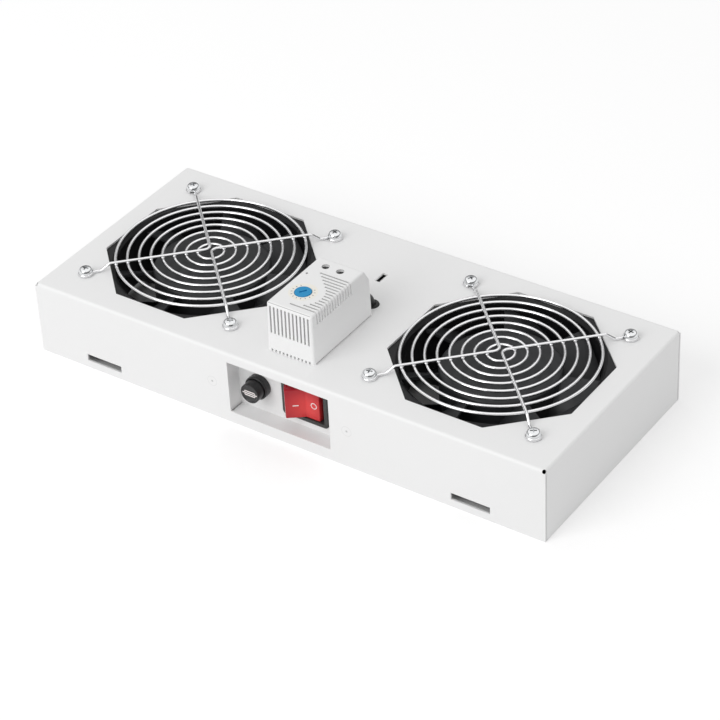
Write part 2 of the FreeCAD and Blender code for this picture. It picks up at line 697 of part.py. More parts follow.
def eye_edges(eye, inward, side):
    """The eye round a screw: an open turn, then a small reverse bend onto the arm."""
    reach = EYE_R + EYE_BLEND_R
    along = math.sqrt(reach ** 2 - EYE_BLEND_R ** 2)
    blend = eye + inward * along + side * EYE_BLEND_R
    touch = eye + (blend - eye) * (EYE_R / reach)
    arm = eye + inward * along
    lean = math.atan2(EYE_BLEND_R, along)
    turn_end = math.radians(360 - EYE_OPEN)

    def on_eye(angle):
        return eye + inward * (EYE_R * math.cos(angle)) + side * (EYE_R * math.sin(angle))

    turn = Part.Arc(on_eye(turn_end), on_eye((turn_end + lean) / 2), touch).toShape()
    towards = (touch + arm) * 0.5 - blend
    bend = Part.Arc(touch, blend + towards.normalize() * EYE_BLEND_R, arm).toShape()
    return [turn, bend], arm


def v_wire(centre, hand):
    """One V wire: an eye, an arm, the nose at the middle, an arm and an eye. hand is -1 or 1 in X."""
    half = HOLE_PITCH / 2
    front = centre + Vector(hand * half, -half, EYE_Z)
    back = centre + Vector(hand * half, half, EYE_Z)
    hub = centre + Z * V_WIRE_Z
    inward_f = Vector(-hand, 1, 0).normalize()
    inward_b = Vector(-hand, -1, 0).normalize()
    first, arm_f = eye_edges(front, inward_f, Vector(-hand, -1, 0).normalize())
    last, arm_b = eye_edges(back, inward_b, Vector(-hand, 1, 0).normalize())
    step_top = RING_OUT + WIRE_R + STEP_GAP
    lift = V_WIRE_Z - EYE_Z

    def step(inward):
        top = hub - inward * step_top
        arm_end = (arm_f - front).Length
        foot = (front - centre - Z * EYE_Z).Length - arm_end - STEP_FOOT
        return hub - inward * foot - Z * lift, top

    foot_f, top_f = step(inward_f)
    foot_b, top_b = step(inward_b)
    points = [arm_f, foot_f, top_f, hub, top_b, foot_b, arm_b]
    run = bent_path(points, [STEP_R, STEP_R, NOSE_R, STEP_R, STEP_R])
    path = Part.Wire(Part.__sortEdges__(first + run + last))
    begin = path.OrderedVertexes[0].Point
    lead_edge = path.OrderedEdges[0]
    heading = lead_edge.tangentAt(lead_edge.FirstParameter)
    section = wire_section(begin, Z.cross(heading).normalize(), Z)
    shell = Part.BRepOffsetAPI.MakePipeShell(path)
    shell.setBiNormalMode(Z)
    shell.add(section)
    shell.build()
    shell.makeSolid()
    return shell.shape()


def guard_wires(centre):
    return Part.makeCompound([v_wire(centre, -1), v_wire(centre, 1)])


def guard_screws(centre):
    """Pan-head screws through eye, tray and fan flange."""
    seat = TOP + WIRE_D
    length = WIRE_D + SHEET + FAN_FLANGE_T + SCREW_NUT_T + SCREW_TAIL
    head = HEAD_D / 2
    shank = SCREW_D / 2
    profile = [
        (0, seat - length), (shank, seat - length), (shank, seat), (head, seat),
        (head, seat + HEAD_T - HEAD_EDGE), (head - HEAD_EDGE, seat + HEAD_T), (0, seat + HEAD_T),
    ]
    return Part.makeCompound([turned_about_z(p, profile) for p in guard_holes(centre)])


def guard_nuts(centre):
    drop = FAN_TOP - FAN_FLANGE_T
    seats = [p + Z * drop for p in guard_holes(centre)]
    hole = SCREW_D / 2 + NUT_GAP
    return Part.makeCompound([hex_nut(SCREW_NUT_AF, SCREW_NUT_T, hole, s, -Z) for s in seats])


# ---- rocker switch ---------------------------------------------------------------------------
def switch_housing():
    x, z = SWITCH_X, WINDOW_Z
    half_w = SWITCH_BODY_W / 2
    half_h = SWITCH_BODY_H / 2
    body = box(x - half_w, x + half_w, PLATE, PLATE + SWITCH_BODY_L, z - half_h, z + half_h)
    half_w += BEZEL_LIP
    half_h += BEZEL_LIP
    face = PLATE - BEZEL_T
    bezel = rounded_block(x - half_w, x + half_w, face, PLATE, z - half_h, z + half_h, BEZEL_R)
    rim = edges_where(bezel, lambda b: b.YMax < face + 0.01)
    bezel = bezel.makeFillet(BEZEL_EDGE_R, rim)
    half_w = ROCKER_R + ROCKER_FIT
    half_h = ROCKER_H / 2 + ROCKER_SIDE_GAP
    cavity = box(x - half_w, x + half_w, face - PAST, PLATE + CAVITY_L, z - half_h, z + half_h)
    reach = ROCKER_H / 2 + PIVOT_L + PIVOT_FIT
    pivot = rod(PIVOT_R + PIVOT_FIT, Vector(x, PLATE + PIVOT_SINK, z - reach), 2 * reach)
    return fused([bezel, body]).cut([cavity, pivot])


def switch_rocker():
    """A V-faced rocker whose ends are arcs about the pivot, drawn mid-way and swung to off."""
    pivot = Vector(SWITCH_X, PLATE + PIVOT_SINK, WINDOW_Z - ROCKER_H / 2)

    def polar(degrees):
        a = math.radians(degrees)
        return pivot + Vector(ROCKER_R * math.cos(a), -ROCKER_R * math.sin(a), 0)

    end = ROCKER_END
    foot = -ROCKER_SKIRT
    corner = polar(end) - pivot
    dip = corner.x * math.tan(math.radians(ROCKER_SWING))
    valley = pivot + Vector(0, corner.y + dip, 0)
    outline = Part.Wire([
        Part.LineSegment(polar(180 - end), valley).toShape(),
        Part.LineSegment(valley, polar(end)).toShape(),
        Part.Arc(polar(end), polar((end + foot) / 2), polar(foot)).toShape(),
        Part.LineSegment(polar(foot), polar(180 - foot)).toShape(),
        Part.Arc(polar(180 - foot), polar(180 - (end + foot) / 2), polar(180 - end)).toShape(),
    ])
    rocker = Part.Face(outline).extrude(Z * ROCKER_H)
    rocker = rocker.fuse(rod(PIVOT_R, pivot - Z * PIVOT_L, ROCKER_H + 2 * PIVOT_L))
    rocker.rotate(pivot, Z, ROCKER_SWING)
    return rocker


def switch_terminals():
    tabs = []
    y = PLATE + SWITCH_BODY_L
    for sx, sz in CORNERS:
        x = SWITCH_X + sx * TAB_X
        z = WINDOW_Z + sz * TAB_Z
        tabs.append(box(x - TAB_W / 2, x + TAB_W / 2, y, y + TAB_L, z - TAB_T / 2, z + TAB_T / 2))
    return Part.makeCompound(tabs)


# ---- fuse holder -----------------------------------------------------------------------------
def fuse_holder():
    knob = FUSE_KNOB_R + FUSE_KNOB_FIT
    face = PLATE - FUSE_FLANGE_T
    back = PLATE + FUSE_BODY_L
    floor = back - FUSE_END_WALL
    return turned_about_y(FUSE_X, WINDOW_Z, [
        (knob, face), (FUSE_FLANGE_R - FUSE_RIM_EDGE, face), (FUSE_FLANGE_R, face + FUSE_RIM_EDGE),
        (FUSE_FLANGE_R, PLATE), (FUSE_BODY_R, PLATE), (FUSE_BODY_R, back), (0, back),
        (0, floor), (FUSE_BORE_R, floor), (FUSE_BORE_R, PLATE), (knob, PLATE),
    ])


def fuse_cap():
    carrier = FUSE_BORE_R - CARRIER_FIT
    hole = LINK_R + LINK_FIT
    front = PLATE - FUSE_KNOB_OUT
    return turned_about_y(FUSE_X, WINDOW_Z, [
        (0, front), (FUSE_KNOB_R - FUSE_KNOB_EDGE, front), (FUSE_KNOB_R, front + FUSE_KNOB_EDGE),
        (FUSE_KNOB_R, PLATE - FUSE_SEAT), (carrier, PLATE - FUSE_SEAT), (carrier, PLATE + CARRIER_L),
        (hole, PLATE + CARRIER_L), (hole, PLATE + LINK_SINK), (0, PLATE + LINK_SINK),
    ])


def fuse_link():
    """A glass tube fuse: a metal cap at each end, a little wider than the tube."""
    start = PLATE + LINK_SINK
    body = rod(LINK_R - LINK_NECK, Vector(FUSE_X, start, WINDOW_Z), LINK_L, Y)
    ends = [Vector(FUSE_X, y, WINDOW_Z) for y in (start, start + LINK_L - LINK_CAP_L)]
    return fused([body] + [rod(LINK_R, end, LINK_CAP_L, Y) for end in ends])


def fuse_nut():
    seat = Vector(FUSE_X, PLATE + SHEET, WINDOW_Z)
    return hex_nut(FUSE_NUT_AF, FUSE_NUT_T, FUSE_BODY_R + NUT_GAP, seat, Y)


def fuse_terminals():
    """The end tab on the axis and the side tab under the body."""
    back = PLATE + FUSE_BODY_L
    half_w = FUSE_TAB_W / 2
    half_t = TAB_T / 2
    x, z = FUSE_X, WINDOW_Z
    end_tab = box(x - half_w, x + half_w, back, back + FUSE_TAB_L, z - half_t, z + half_t)
    y = back - 2 * FUSE_TAB_W
    top = z - FUSE_BODY_R
    side_tab = box(x - half_t, x + half_t, y, y + FUSE_TAB_W, top - FUSE_TAB_L, top)
    return Part.makeCompound([end_tab, side_tab])


# ---- thermostat ------------------------------------------------------------------------------
def housing_block(inset, top_inset):
    """The housing's form, inset from its outer faces: drafted sides and a sloped rear end."""
    def outline(z, lean):
        half = THERMO_W / 2 - inset - lean
        y0 = THERMO_FRONT_Y + inset + lean
        y1 = THERMO_REAR_Y - inset - lean / 2
        points = [(-half, y0), (half, y0), (half, y1), (-half, y1)]
        corners = [Vector(THERMO_X + x, y, z) for x, y in points]
        return Part.makePolygon(corners + [corners[0]])

    top = COVER_TOP - top_inset
    share = (top - TOP) / THERMO_H
    solid = Part.makeLoft([outline(TOP, 0), outline(top, THERMO_DRAFT * share)], True, True)
    x = THERMO_X - THERMO_W
    y0 = THERMO_REAR_Y - inset - SLOPE_L
    y1 = THERMO_REAR_Y - inset + PAST
    foot = top - SLOPE_H * (y1 - y0) / SLOPE_L
    wedge = [Vector(x, y0, top), Vector(x, y1, top), Vector(x, y1, foot)]
    return solid.cut(prism(wedge, X * (2 * THERMO_W)))


def rounded_housing(inset, top_inset, radius):
    solid = housing_block(inset, top_inset)
    top = COVER_TOP - top_inset

    def to_round(b):
        lean = 2 * THERMO_DRAFT
        upright = b.ZLength > THERMO_H / 3 and b.YLength < lean and b.XLength < lean
        along_top = b.ZMin > top - 0.01 and b.YMax < THERMO_REAR_Y - SLOPE_L + 0.01
        return upright or along_top

    return solid.makeFillet(radius, edges_where(solid, to_round))


def rib_grooves(outer):
    """Grooves across the right half of the top that wrap over its edge and fade down the side."""
    core = rounded_housing(RIB_DEPTH, RIB_DEPTH, THERMO_EDGE_R)
    core.translate(Vector(-RIB_DEPTH, 0, 0))
    left = THERMO_X - THERMO_W
    right = THERMO_X + THERMO_W
    ends = (THERMO_FRONT_Y - PAST, THERMO_REAR_Y + PAST)
    core = core.fuse(box(left, THERMO_X, *ends, TOP - PAST, COVER_TOP - RIB_DEPTH))
    skin = outer.cut(core)
    bars = []
    field_left = THERMO_X - THERMO_W / 2 + 2 * THERMO_WALL
    slope = math.tan(math.radians(RIB_DIAGONAL))
    for i in range(RIB_COUNT):
        y = THERMO_REAR_Y - RIB_FROM_REAR - i * RIB_PITCH
        off = y - DIAL_Y
        start = DIAL_X + RIB_DISC_R * math.sqrt(max(0.0, 1 - (off / RIB_DISC_R) ** 2))
        diagonal = DIAL_X + RIB_DISC_R * math.sqrt(2) - off * slope
        if off > RIB_DISC_R * math.sin(math.radians(RIB_DIAGONAL)):
            start = max(diagonal, field_left)
        y0 = y - RIB_W / 2
        bars.append(box(start, right, y0, y0 + RIB_W, COVER_TOP - RIB_DOWN, COVER_TOP + PAST))
    return skin.common(Part.makeCompound(bars))


def thermostat_cover():
    outer = rounded_housing(0, 0, THERMO_EDGE_R)
    grooves = rib_grooves(outer)
    cavity = housing_block(THERMO_WALL, THERMO_WALL)
    cuts = [cavity, grooves]
    first = THERMO_X - (LOUVRE_COUNT - 1) / 2 * LOUVRE_PITCH
    wall = (THERMO_FRONT_Y - PAST, THERMO_FRONT_Y + THERMO_WALL + THERMO_DRAFT + PAST / 2)
    for i in range(LOUVRE_COUNT):
        x = first + i * LOUVRE_PITCH
        half = LOUVRE_W / 2
        cuts.append(box(x - half, x + half, *wall, TOP + LOUVRE_Z, COVER_TOP - LOUVRE_TOP))
        half = NOTCH_W / 2
        cuts.append(box(x - half, x + half, *wall, TOP - PAST, TOP + NOTCH_H))
    sides = (THERMO_X - THERMO_W, THERMO_X + THERMO_W)
    ends = (THERMO_FRONT_Y + THERMO_WALL, THERMO_REAR_Y - THERMO_WALL)
    cuts.append(box(*sides, *ends, TOP - PAST, TOP + COVER_LIFT))

    def through_roof(radius, x, y):
        return rod(radius, Vector(x, y, COVER_TOP - 2 * THERMO_WALL), 3 * THERMO_WALL)

    cuts.append(through_roof(DIAL_R + DIAL_GAP, DIAL_X, DIAL_Y))
    cuts += [through_roof(ACCESS_R, x, ACCESS_Y) for x in ACCESS_XS]
    cuts.append(through_roof(PINHOLE_R, THERMO_X + PINHOLE_OFF, THERMO_REAR_Y - PINHOLE_FROM_REAR))
    exit_start = Vector(LEAD_X, THERMO_REAR_Y - 3 * THERMO_WALL, TOP + LEAD_Z)
    cuts.append(rod(LEAD_D / 2 + CUTOUT_GAP, exit_start, 4 * THERMO_WALL, Y))
    return outer.cut(cuts)


def thermostat_base():
    """Base plate with the dial's pedestal, the terminal block and two screw bosses."""
    wall = THERMO_WALL + BASE_GAP
    half = THERMO_W / 2 - wall
    ends = (THERMO_FRONT_Y + wall, THERMO_REAR_Y - wall)
    floor = box(THERMO_X - half, THERMO_X + half, *ends, TOP, TOP + BASE_T)
    half = PEDESTAL_W / 2
    pedestal = box(DIAL_X - half, DIAL_X + half, DIAL_Y - half, DIAL_Y + half, TOP, TOP + PEDESTAL_H)
    half = THERMO_W / 2 - BLOCK_SIDE
    y0 = ACCESS_Y - BLOCK_L / 2
    block = box(THERMO_X - half, THERMO_X + half, y0, y0 + BLOCK_L, TOP, TOP + BLOCK_H)
    bosses = [rod(BOSS_R, Vector(x, y, TOP), BOSS_H) for x, y in BOSSES]
    well = Vector(DIAL_X, DIAL_Y, TOP + PEDESTAL_H - SPINDLE_L)
    cuts = [rod(SPINDLE_R + SPINDLE_FIT, well, SPINDLE_L + PAST)]
    cuts += [rod(TAPPING_R + NUT_GAP, Vector(x, y, TOP - PAST), BOSS_HOLE_L + PAST) for x, y in BOSSES]
    return fused([floor, pedestal, block] + bosses).cut(cuts)


def thermostat_dial():
    """A flat dial on a spindle, with a driver slot across one half of its face."""
    top = COVER_TOP + DIAL_PROUD
    back = Vector(DIAL_X, DIAL_Y, top - DIAL_T)
    disc = rod(DIAL_R, back, DIAL_T)
    half = DIAL_SLOT_W / 2
    slot = box(DIAL_X - DIAL_R, DIAL_X, DIAL_Y - half, DIAL_Y + half, top - DIAL_SLOT_T, top + PAST)
    slot = slot.common(rod(DIAL_SLOT_R, back, DIAL_T + PAST))
    foot = TOP + PEDESTAL_H - SPINDLE_L + SPINDLE_END_GAP
    spindle = rod(SPINDLE_R, Vector(DIAL_X, DIAL_Y, foot), back.z - foot)
    return fused([disc, spindle]).cut(slot)


def thermostat_terminals():
    top = TOP + BLOCK_H
    seats = [Vector(x, ACCESS_Y, top) for x in ACCESS_XS]
    return Part.makeCompound([rod(TERMINAL_HEAD_R, seat, TERMINAL_HEAD_T) for seat in seats])


def thermostat_bimetal():
    """A bent strip that stands on the base just behind the louvres."""
    x0 = THERMO_X + BIMETAL_OFF - BIMETAL_W / 2
    y0 = THERMO_FRONT_Y + BIMETAL_FROM_FRONT
    z0 = TOP + BASE_T
    t = BIMETAL_T
    outline = [
        (y0, z0), (y0 + BIMETAL_FOOT, z0), (y0 + BIMETAL_FOOT, z0 + t),
        (y0 + t, z0 + t), (y0 + t, z0 + BIMETAL_H), (y0, z0 + BIMETAL_H),
    ]
    strip = prism([Vector(x0, y, z) for y, z in outline], X * BIMETAL_W)
    bend = edges_where(strip, lambda b: b.YMax < y0 + 0.01 and b.ZMax < z0 + 0.01)
    return strip.makeFillet(t, bend)


def thermostat_screws():
    """Self-tapping screws from inside the tray up into the base's bosses."""
    screws = []
    for x, y in BOSSES:
        shank = rod(TAPPING_R, Vector(x, y, UNDER), SHEET + TAPPING_L)
        head = rod(TAPPING_HEAD_R, Vector(x, y, UNDER - TAPPING_HEAD_T), TAPPING_HEAD_T)
        screws.append(shank.fuse(head))
    return Part.makeCompound(screws)


# ---- thermostat lead -------------------------------------------------------------------------
def lead_points():
    block_back = ACCESS_Y + BLOCK_L / 2
    tab_end = PLATE + SWITCH_BODY_L + TAB_L
    boot_back = tab_end - BOOT_BITE + BOOT_L
    tab_x = SWITCH_X + TAB_X
    tab_z = WINDOW_Z + TAB_Z
    return [
        Vector(LEAD_X, block_back, TOP + LEAD_Z),
        Vector(LEAD_X, LEAD_Y, TOP + LEAD_Z),
        Vector(LEAD_X, LEAD_Y, tab_z),
        Vector(tab_x, boot_back + (LEAD_Y - boot_back) * LEAD_TURN_AT, tab_z),
        Vector(tab_x, boot_back, tab_z),
    ]


def thermostat_lead():
    points = lead_points()
    runs = [(b - a).Length for a, b in zip(points, points[1:])]
    radii = []
    for i in range(1, len(points) - 1):
        turn = (points[i] - points[i - 1]).getAngle(points[i + 1] - points[i])
        radii.append(LEAD_SHARE * min(runs[i - 1], runs[i]) / math.tan(turn / 2))
    path = Part.Wire(bent_path(points, radii))
    ring = Part.Wire(Part.Circle(points[0], points[1] - points[0], LEAD_D / 2).toShape())
    lead = path.makePipeShell([ring], True, False)
    print("lead radii", [round(r, 1) for r in radii],
          "volume over section x length", round(lead.Volume / (math.pi * LEAD_D ** 2 / 4 * path.Length), 4))
    return lead


def lead_grommet():
    centre = Vector(LEAD_X, LEAD_Y, 0)
    inner = LEAD_D / 2 + NUT_GAP
    neck = GROMMET_HOLE_R - NUT_GAP
    flange = GROMMET_FLANGE_R
    t = GROMMET_FLANGE_T
    return turned_about_z(centre, [
        (inner, UNDER - t), (flange, UNDER - t), (flange, UNDER), (neck, UNDER), (neck, TOP),
        (flange, TOP), (flange - t / 2, TOP + t), (inner, TOP + t),
    ])


def lead_connector():
    """The insulated push-on connector that takes the lead to a tab of the switch."""
    end = lead_points()[-1]
    x, z = end.x, end.z
    y0 = end.y - BOOT_L
    half_w = BOOT_W / 2
    half_t = BOOT_T / 2
    boot = rounded_block(x - half_w, x + half_w, y0, end.y, z - half_t, z + half_t, BOOT_T / 3)
    half_w = TAB_W / 2 + BOOT_GAP
    half_t = TAB_T / 2 + BOOT_GAP
    bite = (y0 - PAST, y0 + BOOT_BITE + BOOT_GAP)
    return boot.cut(box(x - half_w, x + half_w, *bite, z - half_t, z + half_t))


# ---- mains inlet -----------------------------------------------------------------------------
def inlet_outline(width, height, y0, length):
    """The inlet's outline, a rectangle with its two upper corners cut off, extruded to the rear."""
    w = width / 2
    h = height / 2
    c = INLET_CORNER
    points = [(-w, -h), (w, -h), (w, h - c), (w - c, h), (-w + c, h), (-w, h - c)]
    return prism([Vector(x, y0, INLET_Z + z) for x, z in points], Y * length)


def inlet_screw_head(side):
    """A countersunk head, flush with the rear wall's outer face."""
    out = TRAY_D / 2
    profile = [(0, out), (INLET_HEAD_R, out), (INLET_SCREW_R, out - SHEET), (0, out - SHEET)]
    return turned_about_y(side * INLET_SCREW_PITCH / 2, INLET_Z, profile)


def inlet_body():
    """An appliance inlet, its flange behind the rear wall and its mouth flush with the outside."""
    half_w = INLET_FLANGE_W / 2
    half_h = INLET_FLANGE_H / 2
    z = INLET_Z
    front = REAR_IN - INLET_FLANGE_T
    flange = rounded_block(-half_w, half_w, front, REAR_IN, z - half_h, z + half_h, INLET_FLANGE_R)
    body = inlet_outline(INLET_W, INLET_H, REAR_IN - INLET_L, INLET_L + SHEET)
    wall = 2 * INLET_WALL
    floor = TRAY_D / 2 - INLET_MOUTH_L
    mouth = inlet_outline(INLET_W - wall, INLET_H - wall, floor, INLET_MOUTH_L + PAST)
    holes = []
    for side in (-1, 1):
        at = Vector(side * INLET_SCREW_PITCH / 2, front - PAST, z)
        holes.append(rod(INLET_SCREW_R + NUT_GAP, at, INLET_FLANGE_T + 2 * PAST, Y))
    return fused([flange, body]).cut([mouth] + holes)


def inlet_pins():
    """Three contact pins in the mouth, each with a tab on the inner side."""
    floor = TRAY_D / 2 - INLET_MOUTH_L
    back = REAR_IN - INLET_L
    pins = []
    for i in (-1, 0, 1):
        x = i * PIN_PITCH
        z = INLET_Z + (PIN_RISE if i == 0 else -PIN_RISE)
        for half_t, half_w, y0, y1 in (
            (PIN_T / 2, PIN_W / 2, floor, floor + PIN_L),
            (TAB_T / 2, TAB_W / 2, back - PIN_TAIL, back),
        ):
            pins.append(box(x - half_t, x + half_t, y0, y1, z - half_w, z + half_w))
    return Part.makeCompound(pins)


def inlet_screws():
    screws = []
    for side in (-1, 1):
        start = Vector(side * INLET_SCREW_PITCH / 2, TRAY_D / 2 - INLET_SCREW_L, INLET_Z)
        screws.append(fused([inlet_screw_head(side), rod(INLET_SCREW_R, start, INLET_SCREW_L, Y)]))
    return Part.makeCompound(screws)


# ---- all pieces ------------------------------------------------------------------------------
def main():
    os.makedirs("parts", exist_ok=True)
    export("tray_panel", tray_panel())
    export("switch_bracket", switch_bracket())
    export("bracket_studs", bracket_studs())
    export("bracket_nuts", bracket_nuts())
    for side, centre in FANS.items():
        name = "fan_" + side
        export(name + "_frame", fan_frame(centre))
        export(name + "_stator", fan_stator(centre))
        export(name + "_shaft", fan_shaft(centre))
        export(name + "_rotor", fan_rotor(centre))
        export(name + "_guard_rings", guard_rings(centre))
        export(name + "_guard_wires", guard_wires(centre))
        export(name + "_screws", guard_screws(centre))
        export(name + "_nuts", guard_nuts(centre))
    export("switch_housing", switch_housing())
    export("switch_rocker", switch_rocker())
    export("switch_terminals", switch_terminals())
    export("fuse_holder", fuse_holder())
    export("fuse_nut", fuse_nut())
    export("fuse_cap", fuse_cap())
    export("fuse_link", fuse_link())
    export("fuse_terminals", fuse_terminals())
    export("thermostat_base", thermostat_base())
    export("thermostat_cover", thermostat_cover())
    export("thermostat_dial", thermostat_dial())
    export("thermostat_bimetal", thermostat_bimetal())
    export("thermostat_terminals", thermostat_terminals())
    export("thermostat_screws", thermostat_screws())
    export("lead_grommet", lead_grommet())
    export("thermostat_lead", thermostat_lead())
    export("lead_connector", lead_connector())
    export("inlet_body", inlet_body())
    export("inlet_pins", inlet_pins())
    export("inlet_screws", inlet_screws())


main()
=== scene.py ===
import json
import math

import bmesh
import bpy
from mathutils import Matrix, Vector


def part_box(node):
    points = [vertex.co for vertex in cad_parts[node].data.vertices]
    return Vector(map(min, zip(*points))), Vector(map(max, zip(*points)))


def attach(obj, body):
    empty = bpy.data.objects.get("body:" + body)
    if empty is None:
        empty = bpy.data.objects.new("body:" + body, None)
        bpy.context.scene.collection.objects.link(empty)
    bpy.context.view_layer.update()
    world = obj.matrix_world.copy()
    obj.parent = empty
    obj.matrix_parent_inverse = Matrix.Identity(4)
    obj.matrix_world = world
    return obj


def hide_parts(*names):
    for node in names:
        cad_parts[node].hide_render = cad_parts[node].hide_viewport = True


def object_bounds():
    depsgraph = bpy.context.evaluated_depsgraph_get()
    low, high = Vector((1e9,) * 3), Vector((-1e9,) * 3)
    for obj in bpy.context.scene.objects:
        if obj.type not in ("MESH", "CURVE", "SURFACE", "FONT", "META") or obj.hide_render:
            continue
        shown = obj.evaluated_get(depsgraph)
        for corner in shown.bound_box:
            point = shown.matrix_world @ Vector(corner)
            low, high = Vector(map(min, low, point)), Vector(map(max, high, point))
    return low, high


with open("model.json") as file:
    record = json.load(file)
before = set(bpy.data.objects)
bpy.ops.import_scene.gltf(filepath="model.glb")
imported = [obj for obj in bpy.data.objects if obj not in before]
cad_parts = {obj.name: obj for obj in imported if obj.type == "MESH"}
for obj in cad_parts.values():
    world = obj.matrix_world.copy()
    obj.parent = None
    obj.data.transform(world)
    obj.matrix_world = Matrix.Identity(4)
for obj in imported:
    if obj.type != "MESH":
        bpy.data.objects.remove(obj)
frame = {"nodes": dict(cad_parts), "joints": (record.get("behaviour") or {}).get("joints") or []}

# Rack fan tray: a folded, powder-coated steel tray with two black axial fans under wire guards, a
# pale grey thermostat on top, and a red rocker switch beside a fuse holder in a recess of the front.
# Metres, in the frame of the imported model: +Z up, -Y the front, the bottom rim at Z 0.

cad_low, cad_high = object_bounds()
scene = bpy.context.scene
nodes = frame["nodes"]

# ---- camera ----------------------------------------------------------------------------------
# A long lens looks down on the tray from its front right, so that the top, the front and the
# right side all show. Place and turn are in metres and degrees.
CAMERA_AT = (0.7386, -1.0174, 0.9227)
CAMERA_TURN = (53.971, 2.515, 33.986)
LENS_MM = 134.02

camera = bpy.data.objects.new("camera", bpy.data.cameras.new("camera"))
camera.location = CAMERA_AT
camera.rotation_euler = [math.radians(a) for a in CAMERA_TURN]
camera.data.lens = LENS_MM
camera.data.sensor_width = 36.0
scene.collection.objects.link(camera)
scene.camera = camera
scene.view_settings.view_transform = "Standard"


# ---- studio ----------------------------------------------------------------------------------
# A white floor that keeps the tray's soft shadow, even light from all round, and a wide soft lamp
# in front. Metal shows a white backdrop, a darker room above it and a white panel overhead.
FLOOR_SIZE = 6.0
FLOOR_COLOUR = (0.78, 0.78, 0.78, 1.0)
FLOOR_GLOW = 0.28           # what the lens sees on top of the light that falls on the floor
GLOW_FADE = 0.010           # width of the band under the tray's rim in which the glow ends
SKY_LEVEL = 0.76            # light from all round that falls on the tray
BACKDROP_LEVEL = 1.0        # what the lens and the metal see near the horizon
ROOM_LEVEL = 0.12           # and what they see above it
ROOM_FROM = 0.16            # heights on a sphere of radius 1 round the tray
ROOM_TO = 0.24
PANEL_FROM = 0.48
PANEL_TO = 0.56
KEY_AT = (-0.55, -1.9, 1.45)
KEY_SIZE = 1.5
KEY_WATTS = 21.5


def calculated(tree, operation, first, second=None):
    """A maths step on one or two values, each a socket or a number."""
    step = tree.nodes.new("ShaderNodeMath")
    step.operation = operation
    for place, value in zip(step.inputs, (first, second)):
        if isinstance(value, float):
            place.default_value = value
        elif value is not None:
            tree.links.new(value, place)
    return step.outputs[0]


def ramped(tree, value, start, end, low, high):
    """Runs from low to high while the value goes from start to end, and stays level outside."""
    node = tree.nodes.new("ShaderNodeMapRange")
    node.inputs["From Min"].default_value = start
    node.inputs["From Max"].default_value = end
    node.inputs["To Min"].default_value = low
    node.inputs["To Max"].default_value = high
    tree.links.new(value, node.inputs["Value"])
    return node.outputs["Result"]


def seen_by_lens(tree):
    """1 for rays from the lens, from a gloss or through glass, else 0."""
    path = tree.nodes.new("ShaderNodeLightPath")
    direct = calculated(tree, "MAXIMUM", path.outputs["Is Camera Ray"], path.outputs["Is Glossy Ray"])
    return calculated(tree, "MAXIMUM", direct, path.outputs["Is Transmission Ray"])


world = bpy.data.worlds.new("studio")
scene.world = world
world.use_nodes = True
world_tree = world.node_tree
sky = world_tree.nodes["Background"]
sky.inputs["Color"].default_value = (1.0, 1.0, 1.0, 1.0)
direction = world_tree.nodes.new("ShaderNodeTexCoord")
parts = world_tree.nodes.new("ShaderNodeSeparateXYZ")
world_tree.links.new(direction.outputs["Generated"], parts.inputs["Vector"])
backdrop = ramped(world_tree, parts.outputs["Z"], ROOM_FROM, ROOM_TO, BACKDROP_LEVEL, ROOM_LEVEL)
panel = ramped(world_tree, parts.outputs["Z"], PANEL_FROM, PANEL_TO, 0.0, BACKDROP_LEVEL)
seen = seen_by_lens(world_tree)
shown = calculated(world_tree, "MULTIPLY", calculated(world_tree, "ADD", backdrop, panel), seen)
unseen = calculated(world_tree, "MULTIPLY", calculated(world_tree, "SUBTRACT", 1.0, seen), SKY_LEVEL)
world_tree.links.new(calculated(world_tree, "ADD", shown, unseen), sky.inputs["Strength"])

floor_material = bpy.data.materials.new("studio_floor")
floor_material.use_nodes = True
floor_tree = floor_material.node_tree
floor_shader = floor_tree.nodes["Principled BSDF"]
floor_shader.inputs["Base Color"].default_value = FLOOR_COLOUR
floor_shader.inputs["Roughness"].default_value = 1.0
floor_shader.inputs["Specular IOR Level"].default_value = 0.0
floor_shader.inputs["Emission Color"].default_value = (1.0, 1.0, 1.0, 1.0)
floor_place = floor_tree.nodes.new("ShaderNodeTexCoord")
floor_parts = floor_tree.nodes.new("ShaderNodeSeparateXYZ")
floor_tree.links.new(floor_place.outputs["Object"], floor_parts.inputs["Vector"])
beyond = []
for axis, half in (("X", cad_high[0]), ("Y", cad_high[1])):
    away = calculated(floor_tree, "ABSOLUTE", floor_parts.outputs[axis])
    beyond.append(ramped(floor_tree, away, half - GLOW_FADE, half, 0.0, 1.0))
outside = calculated(floor_tree, "MAXIMUM", beyond[0], beyond[1])
lit = calculated(floor_tree, "MULTIPLY", outside, seen_by_lens(floor_tree))
floor_tree.links.new(calculated(floor_tree, "MULTIPLY", lit, FLOOR_GLOW),
                     floor_shader.inputs["Emission Strength"])

floor_bm = bmesh.new()
bmesh.ops.create_grid(floor_bm, x_segments=1, y_segments=1, size=FLOOR_SIZE / 2)
floor_mesh = bpy.data.meshes.new("floor")
floor_bm.to_mesh(floor_mesh)
floor_bm.free()
floor_mesh.materials.append(floor_material)
floor = bpy.data.objects.new("floor", floor_mesh)
scene.collection.objects.link(floor)

key = bpy.data.objects.new("key_lamp", bpy.data.lights.new("key_lamp", "AREA"))
key.data.size = KEY_SIZE
key.data.energy = KEY_WATTS
key.location = KEY_AT
key.rotation_euler = Vector(KEY_AT).to_track_quat("Z", "Y").to_euler()
scene.collection.objects.link(key)


# ---- tray and bracket ------------------------------------------------------------------------
# Folded 1.2 mm sheet steel with a white powder coat: smooth, faintly dimpled, half glossy. The
# bracket behind the front wall's window is of the same sheet and has the same coat.
COAT_COLOUR = (0.84, 0.84, 0.84)
COAT_ROUGHNESS = 0.46


